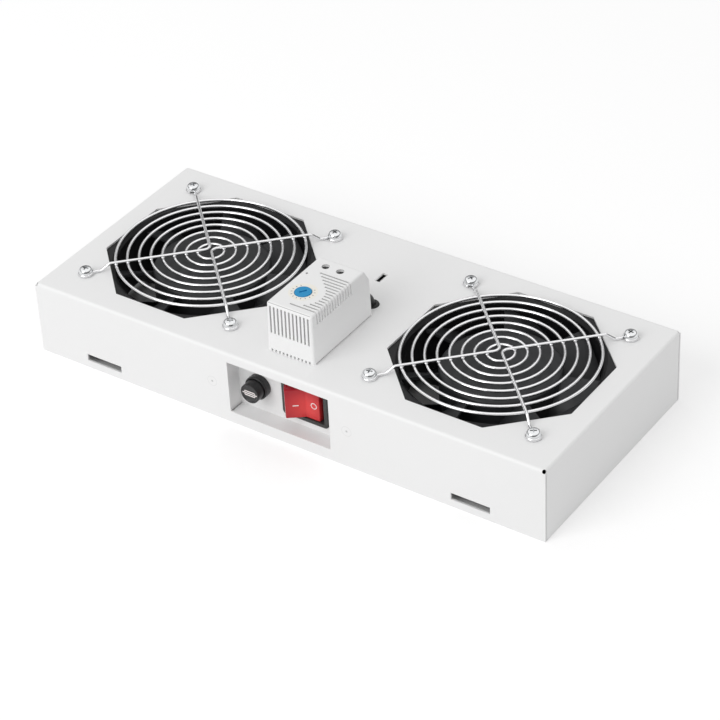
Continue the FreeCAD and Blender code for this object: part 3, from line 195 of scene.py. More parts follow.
def make_grain_group():
    """Fine grain and slow mottling, both from 0 to 1, over a surface's own coordinates."""
    group = bpy.data.node_groups.new("fine_grain", "ShaderNodeTree")
    group.interface.new_socket("Grains per metre", in_out="INPUT", socket_type="NodeSocketFloat")
    group.interface.new_socket("Patches per metre", in_out="INPUT", socket_type="NodeSocketFloat")
    group.interface.new_socket("Grain", in_out="OUTPUT", socket_type="NodeSocketFloat")
    group.interface.new_socket("Patches", in_out="OUTPUT", socket_type="NodeSocketFloat")
    given = group.nodes.new("NodeGroupInput")
    result = group.nodes.new("NodeGroupOutput")
    place = group.nodes.new("ShaderNodeTexCoord")
    for name, detail in (("Grain", 3.0), ("Patches", 2.0)):
        noise = group.nodes.new("ShaderNodeTexNoise")
        noise.inputs["Detail"].default_value = detail
        group.links.new(place.outputs["Object"], noise.inputs["Vector"])
        rate = "Grains per metre" if name == "Grain" else "Patches per metre"
        group.links.new(given.outputs[rate], noise.inputs["Scale"])
        group.links.new(noise.outputs["Fac"], result.inputs[name])
    return group


grain_group = make_grain_group()


def shaded(colour, factor):
    return tuple(min(1.0, c * factor) for c in colour[:3]) + (1.0,)


def finish_material(name, colour, roughness, metallic=0.0, grains=1500.0, patches=25.0,
                    shift=0.03, uneven=0.06, bump=0.00001, coat=0.0, specular=0.5):
    """A finish whose colour, gloss and surface vary a little, as a made surface does."""
    material = bpy.data.materials.new(name)
    material.use_nodes = True
    tree = material.node_tree
    shader = tree.nodes["Principled BSDF"]
    shader.inputs["Metallic"].default_value = metallic
    shader.inputs["Specular IOR Level"].default_value = specular
    shader.inputs["Coat Weight"].default_value = coat
    shader.inputs["Coat Roughness"].default_value = 0.12
    grain = tree.nodes.new("ShaderNodeGroup")
    grain.name = "grain"
    grain.node_tree = grain_group
    grain.inputs["Grains per metre"].default_value = grains
    grain.inputs["Patches per metre"].default_value = patches
    tint = tree.nodes.new("ShaderNodeMix")
    tint.name = "tint"
    tint.data_type = "RGBA"
    tint.inputs[6].default_value = shaded(colour, 1.0 - shift)
    tint.inputs[7].default_value = shaded(colour, 1.0 + shift)
    tree.links.new(grain.outputs["Patches"], tint.inputs[0])
    tree.links.new(tint.outputs[2], shader.inputs["Base Color"])
    gloss = ramped(tree, grain.outputs["Grain"], 0.0, 1.0, roughness - uneven, roughness + uneven)
    tree.links.new(gloss, shader.inputs["Roughness"])
    relief = tree.nodes.new("ShaderNodeBump")
    relief.name = "relief"
    relief.inputs["Distance"].default_value = bump
    tree.links.new(grain.outputs["Grain"], relief.inputs["Height"])
    tree.links.new(relief.outputs["Normal"], shader.inputs["Normal"])
    return material


def dress(material, *names):
    """Puts the finish on pieces whose shape stays as it was built."""
    for name in names:
        piece = nodes[name]
        piece.data.materials.clear()
        piece.data.materials.append(material)


coat = finish_material("powder_coat", COAT_COLOUR, COAT_ROUGHNESS, grains=1100.0, patches=12.0,
                       shift=0.012, uneven=0.05, bump=0.00003)
dress(coat, "tray_panel", "switch_bracket")


# ---- bracket studs ---------------------------------------------------------------------------
# Clinch studs pressed flush into the front wall and coated with it, so their heads show as faint
# discs; zinc-plated hexagon nuts behind hold the bracket's flanges.
STUD_X = 0.0460
STUD_Z = 0.02475
STUD_MARK_R = 0.0009
STUD_RIM_R = 0.0032
STUD_DARK = (0.30, 0.30, 0.30, 1.0)

zinc = finish_material("zinc_plate", (0.62, 0.63, 0.65), 0.30, metallic=1.0, grains=2600.0,
                       shift=0.06, uneven=0.10, bump=0.000008)


def stud_material():
    """The coat over a flush head: a faint rim, and a darker spot at its centre."""
    material = finish_material("stud_face", COAT_COLOUR, COAT_ROUGHNESS, grains=1100.0, shift=0.02,
                               uneven=0.05, bump=0.00003)
    tree = material.node_tree
    place = tree.nodes.new("ShaderNodeTexCoord")
    parts = tree.nodes.new("ShaderNodeSeparateXYZ")
    tree.links.new(place.outputs["Object"], parts.inputs["Vector"])
    across = calculated(tree, "ABSOLUTE", parts.outputs["X"])
    across = calculated(tree, "SUBTRACT", across, STUD_X)
    upward = calculated(tree, "SUBTRACT", parts.outputs["Z"], STUD_Z)
    across = calculated(tree, "MULTIPLY", across, across)
    upward = calculated(tree, "MULTIPLY", upward, upward)
    away = calculated(tree, "SQRT", calculated(tree, "ADD", across, upward))
    # a darker spot at the centre of each head
    mark = ramped(tree, away, STUD_MARK_R * 0.5, STUD_MARK_R, 0.55, 0.0)
    rim = ramped(tree, away, STUD_RIM_R - 0.0003, STUD_RIM_R, 0.0, 0.22)
    dark = tree.nodes.new("ShaderNodeMix")
    dark.data_type = "RGBA"
    dark.inputs[7].default_value = STUD_DARK
    tree.links.new(calculated(tree, "MAXIMUM", mark, rim), dark.inputs[0])
    tree.links.new(tree.nodes["tint"].outputs[2], dark.inputs[6])
    tree.links.new(dark.outputs[2], tree.nodes["Principled BSDF"].inputs["Base Color"])
    return material


dress(stud_material(), "bracket_studs")
dress(zinc, "bracket_nuts")


# ---- fans ------------------------------------------------------------------------------------
# Two 120 mm fans hang under the sheet: a black die-cast frame with a round bore and three struts,
# a laminated stator on a bearing tube, and a moulded wheel of a hub cup and seven blades.
SIDES = ("left", "right")
BLADES = 7
HUB_R = 0.0350
HUB_WALL = 0.0020
HUB_EDGE_R = 0.0025
HUB_H = 0.0240
BOSS_R = 0.0055
BOSS_L = 0.0070
SHAFT_R = 0.0025
SHEETS_PER_METRE = 320.0
SHEET_RELIEF = 0.0001
BLADE_TIP_R = 0.0560
BLADE_T = 0.0018
BLADE_CAMBER = 0.0032
ROOT_X = 0.0310
TIP_X = 0.0580
ROOT_CHORD = 0.0270
TIP_CHORD = 0.0400
ROOT_PITCH = 51.0
TIP_PITCH = 32.0
MERGE = 0.0000002           # points nearer than this become one
BLADE_ROWS = 10
BLADE_COLUMNS = 14
HUB_STEPS = 96

black_frame = finish_material("frame_black", (0.009, 0.009, 0.010), 0.45, grains=1900.0,
                              shift=0.25, uneven=0.08, bump=0.00003, specular=0.30)
wheel_black = finish_material("wheel_black", (0.030, 0.031, 0.033), 0.36, grains=2400.0,
                              shift=0.12, uneven=0.06, bump=0.000008, specular=0.30)
shaft_steel = finish_material("ground_steel", (0.55, 0.55, 0.56), 0.18, metallic=1.0)


def lamination_material():
    """Stacked steel sheets, with thin dark lines between them."""
    material = finish_material("stator_sheets", (0.30, 0.29, 0.28), 0.40, metallic=1.0, shift=0.10)
    tree = material.node_tree
    place = tree.nodes.new("ShaderNodeTexCoord")
    lines = tree.nodes.new("ShaderNodeTexWave")
    lines.bands_direction = "Z"
    lines.inputs["Scale"].default_value = SHEETS_PER_METRE
    tree.links.new(place.outputs["Object"], lines.inputs["Vector"])
    tree.links.new(lines.outputs["Fac"], tree.nodes["relief"].inputs["Height"])
    tree.nodes["relief"].inputs["Distance"].default_value = SHEET_RELIEF
    return material


def edges_of(verts):
    return list({edge for vert in verts for edge in vert.link_edges})


def turn_profile(bm, points, centre, axis, steps):
    """Revolves the open line through (radius, height) points about the axis through centre."""
    axis = Vector(axis)
    out = Vector((1.0, 0.0, 0.0))
    verts = [bm.verts.new(centre + out * r + axis * h) for r, h in points]
    for a, b in zip(verts, verts[1:]):
        bm.edges.new((a, b))
    bmesh.ops.spin(bm, geom=verts + edges_of(verts), cent=centre, axis=axis, dvec=(0, 0, 0),
                   angle=2 * math.pi, steps=steps, use_merge=True)


def join(bm, other):
    """Adds the other form to the first and frees it."""
    mesh = bpy.data.meshes.new("part")
    other.to_mesh(mesh)
    other.free()
    bm.from_mesh(mesh)
    bpy.data.meshes.remove(mesh)


def rounded(points, radius, steps=4):
    """The (radius, height) line with each of its inner corners rounded off."""
    line = [points[0]]
    for before, at, after in zip(points, points[1:], points[2:]):
        a = Vector(before) - Vector(at)
        b = Vector(after) - Vector(at)
        cut = min(radius, a.length * 0.45, b.length * 0.45)
        start = Vector(at) + a.normalized() * cut
        end = Vector(at) + b.normalized() * cut
        for i in range(steps + 1):
            t = i / steps
            line.append(tuple(start * (1 - t) ** 2 + Vector(at) * 2 * t * (1 - t) + end * t ** 2))
    return line + [points[-1]]


def add_piece(name, bm, material, body, replaced=(), sharp=32.0):
    """Turns the mesh into a piece that rides on its body and stands for the given nodes."""
    bmesh.ops.remove_doubles(bm, verts=bm.verts, dist=MERGE)
    bmesh.ops.recalc_face_normals(bm, faces=bm.faces)
    mesh = bpy.data.meshes.new(name)
    bm.to_mesh(mesh)
    bm.free()
    mesh.materials.append(material)
    mesh.polygons.foreach_set("use_smooth", [True] * len(mesh.polygons))
    mesh.set_sharp_from_angle(angle=math.radians(sharp))
    piece = bpy.data.objects.new(name, mesh)
    scene.collection.objects.link(piece)
    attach(piece, body)
    if replaced:
        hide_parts(*replaced)
    return piece


def blade_form(centre, middle_z, turn):
    """One blade: a flat grid bent to its pitch and camber, given its thickness, then turned."""
    bm = bmesh.new()
    made = bmesh.ops.create_grid(bm, x_segments=BLADE_ROWS, y_segments=BLADE_COLUMNS, size=0.5)
    verts = made["verts"]
    root_r = HUB_R - HUB_WALL / 2
    for vert in verts:
        out = vert.co.x + 0.5
        share = vert.co.y
        radius = root_r + out * (BLADE_TIP_R - root_r)
        reach = (radius - ROOT_X) / (TIP_X - ROOT_X)
        chord = ROOT_CHORD + reach * (TIP_CHORD - ROOT_CHORD)
        pitch = math.radians(ROOT_PITCH + reach * (TIP_PITCH - ROOT_PITCH))
        lift = BLADE_CAMBER * (1 - 4 * share ** 2)
        y = share * chord * math.cos(pitch) - lift * math.sin(pitch)
        z = share * chord * math.sin(pitch) + lift * math.cos(pitch)
        vert.co = (math.sqrt(radius ** 2 - y ** 2), y, middle_z + z)
    faces = list({face for vert in verts for face in vert.link_faces})
    bmesh.ops.solidify(bm, geom=faces, thickness=BLADE_T)
    place = Matrix.Translation(centre) @ Matrix.Rotation(turn, 4, "Z")
    bmesh.ops.transform(bm, matrix=place, verts=bm.verts)
    return bm


def add_wheel(side):
    """The fan wheel, hub cup and blades in one moulding, on its own body."""
    node = "fan_" + side + "_rotor"
    low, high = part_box(node)
    joint = next(j for j in frame["joints"] if j["name"] == "fan_" + side + "_spin")
    centre = Vector((joint["pos_m"][0], joint["pos_m"][1], 0.0))
    top = high[2]
    inner = HUB_R - HUB_WALL
    bm = bmesh.new()
    outside = rounded([(0.0, top), (HUB_R, top), (HUB_R, top - HUB_H)], HUB_EDGE_R, 6)
    inside = [(inner, top - HUB_H), (inner, top - HUB_WALL), (BOSS_R, top - HUB_WALL),
              (BOSS_R, top - HUB_WALL - BOSS_L), (SHAFT_R, top - HUB_WALL - BOSS_L),
              (SHAFT_R, top - HUB_WALL), (0.0, top - HUB_WALL)]
    turn_profile(bm, outside + inside, centre, (0, 0, 1), HUB_STEPS)
    for i in range(BLADES):
        join(bm, blade_form(centre, top - HUB_H / 2, 2 * math.pi * i / BLADES))
    return add_piece("wheel_" + side, bm, wheel_black, "rotor_" + side, [node])


stator_steel = lamination_material()
for side in SIDES:
    dress(black_frame, "fan_" + side + "_frame")
    dress(stator_steel, "fan_" + side + "_stator")
    dress(shaft_steel, "fan_" + side + "_shaft")
    add_wheel(side)


# ---- wire guards -----------------------------------------------------------------------------
# Bright nickel-plated 1.8 mm wire: eight rings, and two V wires welded across them, each with an
# eye at both ends that steps down to the sheet and is held by a screw.
WIRE_R = 0.0009
WIRE_SEGMENTS = 12
RING_STEPS = 144
RINGS = 8
RING_FIRST_R = 0.0078
RING_LAST_R = 0.0561
EYE_R = 0.0039
EYE_BLEND_R = 0.0030
EYE_OPEN = 38.0             # degrees of the eye left open
EYE_STEPS = 40
BEND_STEPS = 6
HOLE_HALF = 0.0525          # fixing holes from the fan's middle, along X and along Y
NOSE_R = 0.0040
NOSE_STEPS = 10
STEP_R = 0.0026
STEP_FOOT = 0.0028
STEP_TOP = 0.0600           # where a V wire starts down towards its eye
WELD_R = 0.00125

nickel = finish_material("nickel_wire", (0.86, 0.86, 0.87), 0.14, metallic=1.0, grains=3200.0,
                         patches=90.0, shift=0.05, uneven=0.05, bump=0.000004)


def ring_radius(i):
    return RING_FIRST_R + i * (RING_LAST_R - RING_FIRST_R) / (RINGS - 1)


def fan_centre(side):
    low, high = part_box("fan_" + side + "_frame")
    return Vector(((low[0] + high[0]) / 2, (low[1] + high[1]) / 2, 0.0))


def add_rings(side):
    centre = fan_centre(side)
    node = "fan_" + side + "_guard_rings"
    low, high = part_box(node)
    level = (low[2] + high[2]) / 2
    bm = bmesh.new()
    for i in range(RINGS):
        radius = ring_radius(i)
        place = Matrix.Translation(centre + Vector((radius, 0.0, level)))
        place = place @ Matrix.Rotation(math.pi / 2, 4, "X")
        made = bmesh.ops.create_circle(bm, segments=WIRE_SEGMENTS, radius=WIRE_R, matrix=place)
        bmesh.ops.spin(bm, geom=made["verts"] + edges_of(made["verts"]), cent=centre,
                       axis=(0, 0, 1), dvec=(0, 0, 0), angle=2 * math.pi, steps=RING_STEPS,
                       use_merge=True)
    return add_piece("guard_rings_" + side, bm, nickel, "tray", [node], 60.0)


def arc_points(centre, start, end_angle, normal, steps):
    """Points along an arc from start, turned about the normal through centre."""
    spoke = start - centre
    turns = [end_angle * i / steps for i in range(steps + 1)]
    return [centre + Matrix.Rotation(turn, 3, normal) @ spoke for turn in turns]


def corner_points(before, at, after, radius, steps=BEND_STEPS):
    """Points along the arc of the radius that rounds the corner at a point."""
    a = (before - at).normalized()
    b = (after - at).normalized()
    half = a.angle(b) / 2
    run = radius / math.tan(half)
    centre = at + (a + b).normalized() * (radius / math.sin(half))
    normal = a.cross(b).normalized()
    turn = -(math.pi - 2 * half)
    return arc_points(centre, at + a * run, turn, normal, steps)


def v_wire_points(centre, hand, ring_level, eye_level):
    """The line of one V wire: eye, step, arm, nose at the middle, arm, step, eye."""
    lift = ring_level - eye_level
    reach = EYE_R + EYE_BLEND_R
    along = math.sqrt(reach ** 2 - EYE_BLEND_R ** 2)
    hub = Vector((centre.x, centre.y, ring_level))
    ends = []
    for back in (-1, 1):
        eye = Vector((centre.x + hand * HOLE_HALF, centre.y + back * HOLE_HALF, eye_level))
        inward = Vector((-hand, -back, 0.0)).normalized()
        side = Vector((-hand, back, 0.0)).normalized()
        blend = eye + inward * along + side * EYE_BLEND_R
        touch = eye + (blend - eye) * (EYE_R / reach)
        normal = inward.cross(side).normalized()
        lean = math.atan2(EYE_BLEND_R, along)
        full = math.radians(360.0 - EYE_OPEN) - lean
        loop = list(reversed(arc_points(eye, touch, full, normal, EYE_STEPS)))
        bend = arc_points(blend, touch, math.pi / 2 - lean, normal, BEND_STEPS)
        step_low = HOLE_HALF * math.sqrt(2) - along - STEP_FOOT
        top = hub - inward * STEP_TOP
        foot = hub - inward * step_low - Vector((0.0, 0.0, lift))
        arm = bend[-1]
        line = loop + bend[1:]
        line += corner_points(arm, foot, top, STEP_R)
        line += corner_points(foot, top, hub, STEP_R)
        ends.append((line, top))
    nose = corner_points(ends[0][1], hub, ends[1][1], NOSE_R, NOSE_STEPS)
    return ends[0][0] + nose + list(reversed(ends[1][0]))


def wire_mesh(points):
    """A round wire along the points, as a mesh."""
    curve = bpy.data.curves.new("wire", "CURVE")
    curve.dimensions = "3D"
    curve.bevel_depth = WIRE_R
    curve.bevel_resolution = 4
    curve.use_fill_caps = True
    spline = curve.splines.new("POLY")
    spline.points.add(len(points) - 1)
    for target, point in zip(spline.points, points):
        target.co = (*point, 1.0)
    holder = bpy.data.objects.new("wire", curve)
    scene.collection.objects.link(holder)
    bpy.context.view_layer.update()
    depsgraph = bpy.context.evaluated_depsgraph_get()
    mesh = bpy.data.meshes.new_from_object(holder.evaluated_get(depsgraph))
    bpy.data.objects.remove(holder)
    return mesh


def add_guard_wires(side):
    """Both V wires of a guard, with a small weld at each crossing of a ring."""
    centre = fan_centre(side)
    node = "fan_" + side + "_guard_wires"
    low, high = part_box(node)
    ring_level = high[2] - WIRE_R
    eye_level = low[2] + WIRE_R
    bm = bmesh.new()
    for hand in (-1, 1):
        mesh = wire_mesh(v_wire_points(centre, hand, ring_level, eye_level))
        bm.from_mesh(mesh)
        bpy.data.meshes.remove(mesh)
    weld_level = ring_level - WIRE_R
    for i in range(RINGS):
        radius = ring_radius(i)
        for quarter in range(4):
            turn = math.pi / 4 + quarter * math.pi / 2
            at = centre + Vector((radius * math.cos(turn), radius * math.sin(turn), weld_level))
            place = Matrix.Translation(at) @ Matrix.Diagonal((1.0, 1.0, 0.5, 1.0))
            bmesh.ops.create_icosphere(bm, subdivisions=2, radius=WELD_R, matrix=place)
    return add_piece("guard_wires_" + side, bm, nickel, "tray", [node], 60.0)


for side in SIDES:
    add_rings(side)
    add_guard_wires(side)


# ---- guard screws ----------------------------------------------------------------------------
# M4 pan-head screws with a cross recess, bright zinc, through eye, sheet and fan flange; hexagon
# nuts hold them under the flange.
HEAD_R = 0.00425
HEAD_H = 0.0026
HEAD_CROWN_R = 0.0011
HEAD_DOME = 0.0001          # rise of the head's middle over its flat
HEAD_FLAT = 0.8             # share of the radius where the flat ends
HEAD_RIM = 0.3              # share of the height where the crown starts
PLAIN_PITCHES = 4           # pitches of plain shank under the head
SHANK_R = 0.0020
THREAD_DEPTH = 0.00028
THREAD_PITCH = 0.0007
SCREW_STEPS = 40
RECESS_DEPTH = 0.0017
RECESS_HALF_W = 0.00052
RECESS_REACH = 0.0024
RECESS_TAPER = 0.55
SCREW_TURNS = (12.0, 58.0, 33.0, 81.0)

bright_zinc = finish_material("bright_screw", (0.78, 0.79, 0.80), 0.15, metallic=1.0, grains=3000.0,
                              patches=160.0, shift=0.05, uneven=0.05, bump=0.000004)


def screw_blank(seat, tail):
    """Head and threaded shank, turned about Z at the origin."""
    top = seat + HEAD_H
    head = rounded([(0.0, top + HEAD_DOME), (HEAD_R * HEAD_FLAT, top),
                    (HEAD_R, seat + HEAD_H * HEAD_RIM), (HEAD_R, seat)], HEAD_CROWN_R, 5)
    line = head + [(SHANK_R, seat)]
    level = seat - PLAIN_PITCHES * THREAD_PITCH
    while level > tail + THREAD_PITCH:
        line.append((SHANK_R, level))
        line.append((SHANK_R - THREAD_DEPTH, level - THREAD_PITCH / 2))
        level -= THREAD_PITCH
    line += [(SHANK_R - THREAD_DEPTH, tail), (0.0, tail)]
    bm = bmesh.new()
    turn_profile(bm, line, Vector((0.0, 0.0, 0.0)), (0, 0, 1), SCREW_STEPS)
    bmesh.ops.remove_doubles(bm, verts=bm.verts, dist=MERGE)
    bmesh.ops.recalc_face_normals(bm, faces=bm.faces)
    return bm


def recess_cutter(top):
    """A cross of four tapering arms drawn out of a small square core."""
    bm = bmesh.new()
    size = Matrix.Diagonal((2 * RECESS_HALF_W, 2 * RECESS_HALF_W, 2 * RECESS_DEPTH, 1.0))
    bmesh.ops.create_cube(bm, size=1.0, matrix=Matrix.Translation((0.0, 0.0, top)) @ size)
    sides = [f for f in bm.faces if abs(f.normal.z) < 0.5]
    for face in sides:
        out = face.normal * (RECESS_REACH - RECESS_HALF_W)
        grown = bmesh.ops.extrude_face_region(bm, geom=[face])
        tips = [v for v in grown["geom"] if isinstance(v, bmesh.types.BMVert)]
        bmesh.ops.translate(bm, verts=tips, vec=out)
        bmesh.ops.delete(bm, geom=[face], context="FACES_ONLY")
    for vert in bm.verts:
        if vert.co.z < top:
            vert.co.x *= RECESS_TAPER
            vert.co.y *= RECESS_TAPER
    bmesh.ops.recalc_face_normals(bm, faces=bm.faces)
    return bm


def cut_with(bm, cutter):
    """The first mesh with the second one cut out of it, as a new mesh."""
    holders = []
    for name, source in (("blank", bm), ("cutter", cutter)):
        mesh = bpy.data.meshes.new(name)
        source.to_mesh(mesh)
        source.free()
        holder = bpy.data.objects.new(name, mesh)
        scene.collection.objects.link(holder)
        holders.append(holder)
    cut = holders[0].modifiers.new("cut", "BOOLEAN")
    cut.operation = "DIFFERENCE"
    cut.solver = "EXACT"
    cut.object = holders[1]
    bpy.context.view_layer.update()
    depsgraph = bpy.context.evaluated_depsgraph_get()
    mesh = bpy.data.meshes.new_from_object(holders[0].evaluated_get(depsgraph))
    for holder in holders:
        bpy.data.objects.remove(holder)
    return mesh


def add_screws(side):
    centre = fan_centre(side)
    node = "fan_" + side + "_screws"
    low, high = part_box(node)
    seat = high[2] - HEAD_H
    one = cut_with(screw_blank(seat, low[2]), recess_cutter(high[2]))
    bm = bmesh.new()
    corners = [(-1, -1), (-1, 1), (1, -1), (1, 1)]
    for (sx, sy), turn in zip(corners, SCREW_TURNS):
        copy = one.copy()
        at = Matrix.Translation((centre.x + sx * HOLE_HALF, centre.y + sy * HOLE_HALF, 0.0))
        copy.transform(at @ Matrix.Rotation(math.radians(turn), 4, "Z"))
        bm.from_mesh(copy)
        bpy.data.meshes.remove(copy)
    bpy.data.meshes.remove(one)
    return add_piece("guard_screws_" + side, bm, bright_zinc, "tray", [node], 28.0)


for side in SIDES:
    add_screws(side)
    dress(zinc, "fan_" + side + "_nuts")


# ---- rocker switch ---------------------------------------------------------------------------
# A snap-in mains switch: black moulded bezel and body, and a red see-through rocker with a white
# bar for on and a white ring for off. It is shown switched off, its left end standing out.
PRESSED_R = 0.0101          # from the pivot to the edge of the half that is pressed in
PRESSED_END = 30.0          # degrees from the rocker's own middle plane to that edge
RAISED_R = 0.0134           # and to the edge of the half that stands out
RAISED_END = 39.0
ROCKER_SKIRT = 8.0          # degrees that the round ends go on behind the pivot
ROCKER_SWING = 11.0         # degrees from the middle position to off
ROCKER_HALF_H = 0.00975
ROCKER_EDGE_R = 0.00055
ARC_STEPS = 8
MARK_T = 0.00006
# Painted light on the rocker: a lit red at the middle of its face and a painted shade of deep red at
# its ends, blended by distance from a painted highlight.
ROCKER_PAINTED_LIT_RED = (0.70, 0.045, 0.045)
ROCKER_PAINTED_SHADE_RED = (0.36, 0.005, 0.016, 1.0)
PAINTED_HIGHLIGHT_OFFSET = (0.0030, 0.0030, -0.0025)     # centre of the painted highlight, from the pivot and the front
PAINTED_SHADE_FROM = 0.0045
PAINTED_SHADE_TO = 0.0150
BAR_L = 0.0034
BAR_DROP = 0.0012
BAR_W = 0.00065
BAR_SHARE = 0.50            # how far along its half of the face each mark stands
RING_SHARE = 0.60
RING_MARK_R = 0.0018
RING_MARK_W = 0.0005

bezel_black = finish_material("bezel_black", (0.034, 0.037, 0.036), 0.38, grains=2600.0,
                              shift=0.08, uneven=0.06, bump=0.00001)
white_print = finish_material("white_print", (0.86, 0.80, 0.79), 0.50, grains=4000.0, shift=0.02)
tinned = finish_material("tinned_brass", (0.70, 0.66, 0.58), 0.28, metallic=1.0, shift=0.08)
dress(bezel_black, "switch_housing")
dress(tinned, "switch_terminals", "fuse_terminals", "inlet_pins")


def rocker_material():
    """Clear red moulding with painted light: a lit red round the middle of its face, fading to a
    painted shade of deep red towards its ends.
    """
    material = finish_material("rocker_red", ROCKER_PAINTED_LIT_RED, 0.22, grains=900.0, patches=150.0,
                               shift=0.10, uneven=0.04, bump=0.000004, coat=0.08, specular=0.35)
    tree = material.node_tree
    place = tree.nodes.new("ShaderNodeTexCoord")
    from_middle = tree.nodes.new("ShaderNodeVectorMath")
    from_middle.operation = "DISTANCE"
    from_middle.inputs[1].default_value = (painted_highlight_centre.x, painted_highlight_centre.y, painted_highlight_centre.z)
    tree.links.new(place.outputs["Object"], from_middle.inputs[0])
    # painted shade: the red darkens with distance from the painted highlight
    painted_shade = ramped(tree, from_middle.outputs["Value"], PAINTED_SHADE_FROM, PAINTED_SHADE_TO, 0.0, 1.0)
    blend = tree.nodes.new("ShaderNodeMix")
    blend.data_type = "RGBA"
    blend.inputs[7].default_value = ROCKER_PAINTED_SHADE_RED
    tree.links.new(painted_shade, blend.inputs[0])
    tree.links.new(tree.nodes["tint"].outputs[2], blend.inputs[6])
    tree.links.new(blend.outputs[2], tree.nodes["Principled BSDF"].inputs["Base Color"])
    return material


rock = next(j for j in frame["joints"] if j["name"] == "switch_rock")
rocker_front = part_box("switch_rocker")[0][1]
pivot = Vector(rock["pos_m"])
# the centre of the rocker's painted highlight
painted_highlight_centre = Vector((pivot.x, rocker_front, pivot.z)) + Vector(PAINTED_HIGHLIGHT_OFFSET)
red_plastic = rocker_material()


def swung(points):
    """Points turned about the pivot from the rocker's middle position to off."""
    turn = Matrix.Rotation(math.radians(ROCKER_SWING), 3, "Z")
    return [pivot + turn @ (point - pivot) for point in points]


def rocker_outline():
    """The rocker seen along its pivot: V face, round ends, straight back."""
    def end_arc(side, radius, end):
        """The round end of one half, from its edge down to its skirt."""
        points = []
        for i in range(ARC_STEPS + 1):
            a = math.radians(end - (end + ROCKER_SKIRT) * i / ARC_STEPS)
            points.append(pivot + Vector((side * radius * math.cos(a), -radius * math.sin(a), 0.0)))
        return points

    right = end_arc(1.0, PRESSED_R, PRESSED_END)
    left = list(reversed(end_arc(-1.0, RAISED_R, RAISED_END)))
    corner = right[0] - pivot
    dip = corner.x * math.tan(math.radians(ROCKER_SWING))
    valley = pivot + Vector((0.0, corner.y + dip, 0.0))
    return swung([valley] + right + left), swung([left[-1], valley, right[0]])


def add_rocker():
    outline, face_line = rocker_outline()
    bm = bmesh.new()
    foot = Vector((0.0, 0.0, -ROCKER_HALF_H))
    loop = [bm.verts.new(point + foot) for point in outline]
    face = bm.faces.new(loop)
    grown = bmesh.ops.extrude_face_region(bm, geom=[face])
    tops = [v for v in grown["geom"] if isinstance(v, bmesh.types.BMVert)]
    bmesh.ops.translate(bm, verts=tops, vec=(0.0, 0.0, 2 * ROCKER_HALF_H))
    bmesh.ops.recalc_face_normals(bm, faces=bm.faces)
    crisp = [e for e in bm.edges if e.calc_face_angle(0.0) > math.radians(25.0)]
    bmesh.ops.bevel(bm, geom=crisp, offset=ROCKER_EDGE_R, affect="EDGES", segments=4, profile=0.5,
                    material=-1, clamp_overlap=True)
    add_piece("rocker", bm, red_plastic, "rocker", ["switch_rocker"], 40.0)
    return face_line


def face_place(start, end, share):
    """A place on a rocker half's face: X along the face, Y up, Z out of it."""
    along = (end - start).normalized()
    up = Vector((0.0, 0.0, 1.0))
    out = along.cross(up).normalized()
    if out.y > 0.0:
        out = -out
    at = start.lerp(end, share)
    turn = Matrix((along, up, out)).transposed().to_4x4()
    return Matrix.Translation(at) @ turn


def add_marks(face_line):
    left, valley, right = face_line
    bm = bmesh.new()
    size = Matrix.Diagonal((BAR_L, BAR_W, 2 * MARK_T, 1.0))
    place = face_place(left, valley, BAR_SHARE) @ Matrix.Translation((0.0, -BAR_DROP, 0.0))
    made = bmesh.ops.create_cube(bm, size=1.0, matrix=place @ size)
    bmesh.ops.bevel(bm, geom=edges_of(made["verts"]), offset=MARK_T / 2, affect="EDGES", segments=1,
                    profile=0.5, material=-1)
    ring = bmesh.new()
    half = RING_MARK_W / 2
    line = [(RING_MARK_R - half, -MARK_T), (RING_MARK_R - half, MARK_T),
            (RING_MARK_R + half, MARK_T), (RING_MARK_R + half, -MARK_T), (RING_MARK_R - half, -MARK_T)]
    turn_profile(ring, line, Vector((0.0, 0.0, 0.0)), (0, 0, 1), 40)
    bmesh.ops.transform(ring, matrix=face_place(valley, right, RING_SHARE), verts=ring.verts)
    join(bm, ring)
    add_piece("rocker_marks", bm, white_print, "rocker")


add_marks(add_rocker())


# ---- fuse holder -----------------------------------------------------------------------------
# A panel-mount fuse holder of black thermoset: a collar in front of the plate, a nut behind it and
# a cap that draws out with the glass fuse. The cap's face carries a plain fuse sign in white.
CAP_R = 0.00615
CAP_EDGE_R = 0.0007
CAP_DISH = 0.0004
COLLAR_R = 0.0074
COLLAR_EDGE_R = 0.0006
COLLAR_NECK_R = 0.0060      # the holder's neck behind the plate
COLLAR_BORE_R = 0.0046
COLLAR_END_T = 0.0015
CAP_NECK_R = 0.0045
CAP_TAIL_R = 0.00265        # the end that grips the glass fuse
CAP_DISH_R = 0.80           # share of the radius where the dished face ends
CAP_RIM_R = 0.86            # and where the raised rim starts
CAP_GAP = 0.0003            # cap to plate
CAP_PLAY = 0.0001           # cap to collar
BEZEL_T = 0.0020            # the switch's bezel in front of the plate
SIGN_W = 0.0068
SIGN_H = 0.0026
SIGN_LINE = 0.0007
SIGN_T = 0.00006
SIGN_LEADS = 1.45           # the line through the sign, as a share of its width

thermoset = finish_material("thermoset_black", (0.016, 0.016, 0.017), 0.33, grains=2400.0,
                            shift=0.15, uneven=0.08, bump=0.00001)
cap_low, cap_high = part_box("fuse_cap")
collar_low, collar_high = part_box("fuse_holder")
link_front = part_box("fuse_link")[0][1]
fuse_axis = Vector(((cap_low[0] + cap_high[0]) / 2, 0.0, (cap_low[2] + cap_high[2]) / 2))
plate_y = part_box("switch_housing")[0][1] + BEZEL_T

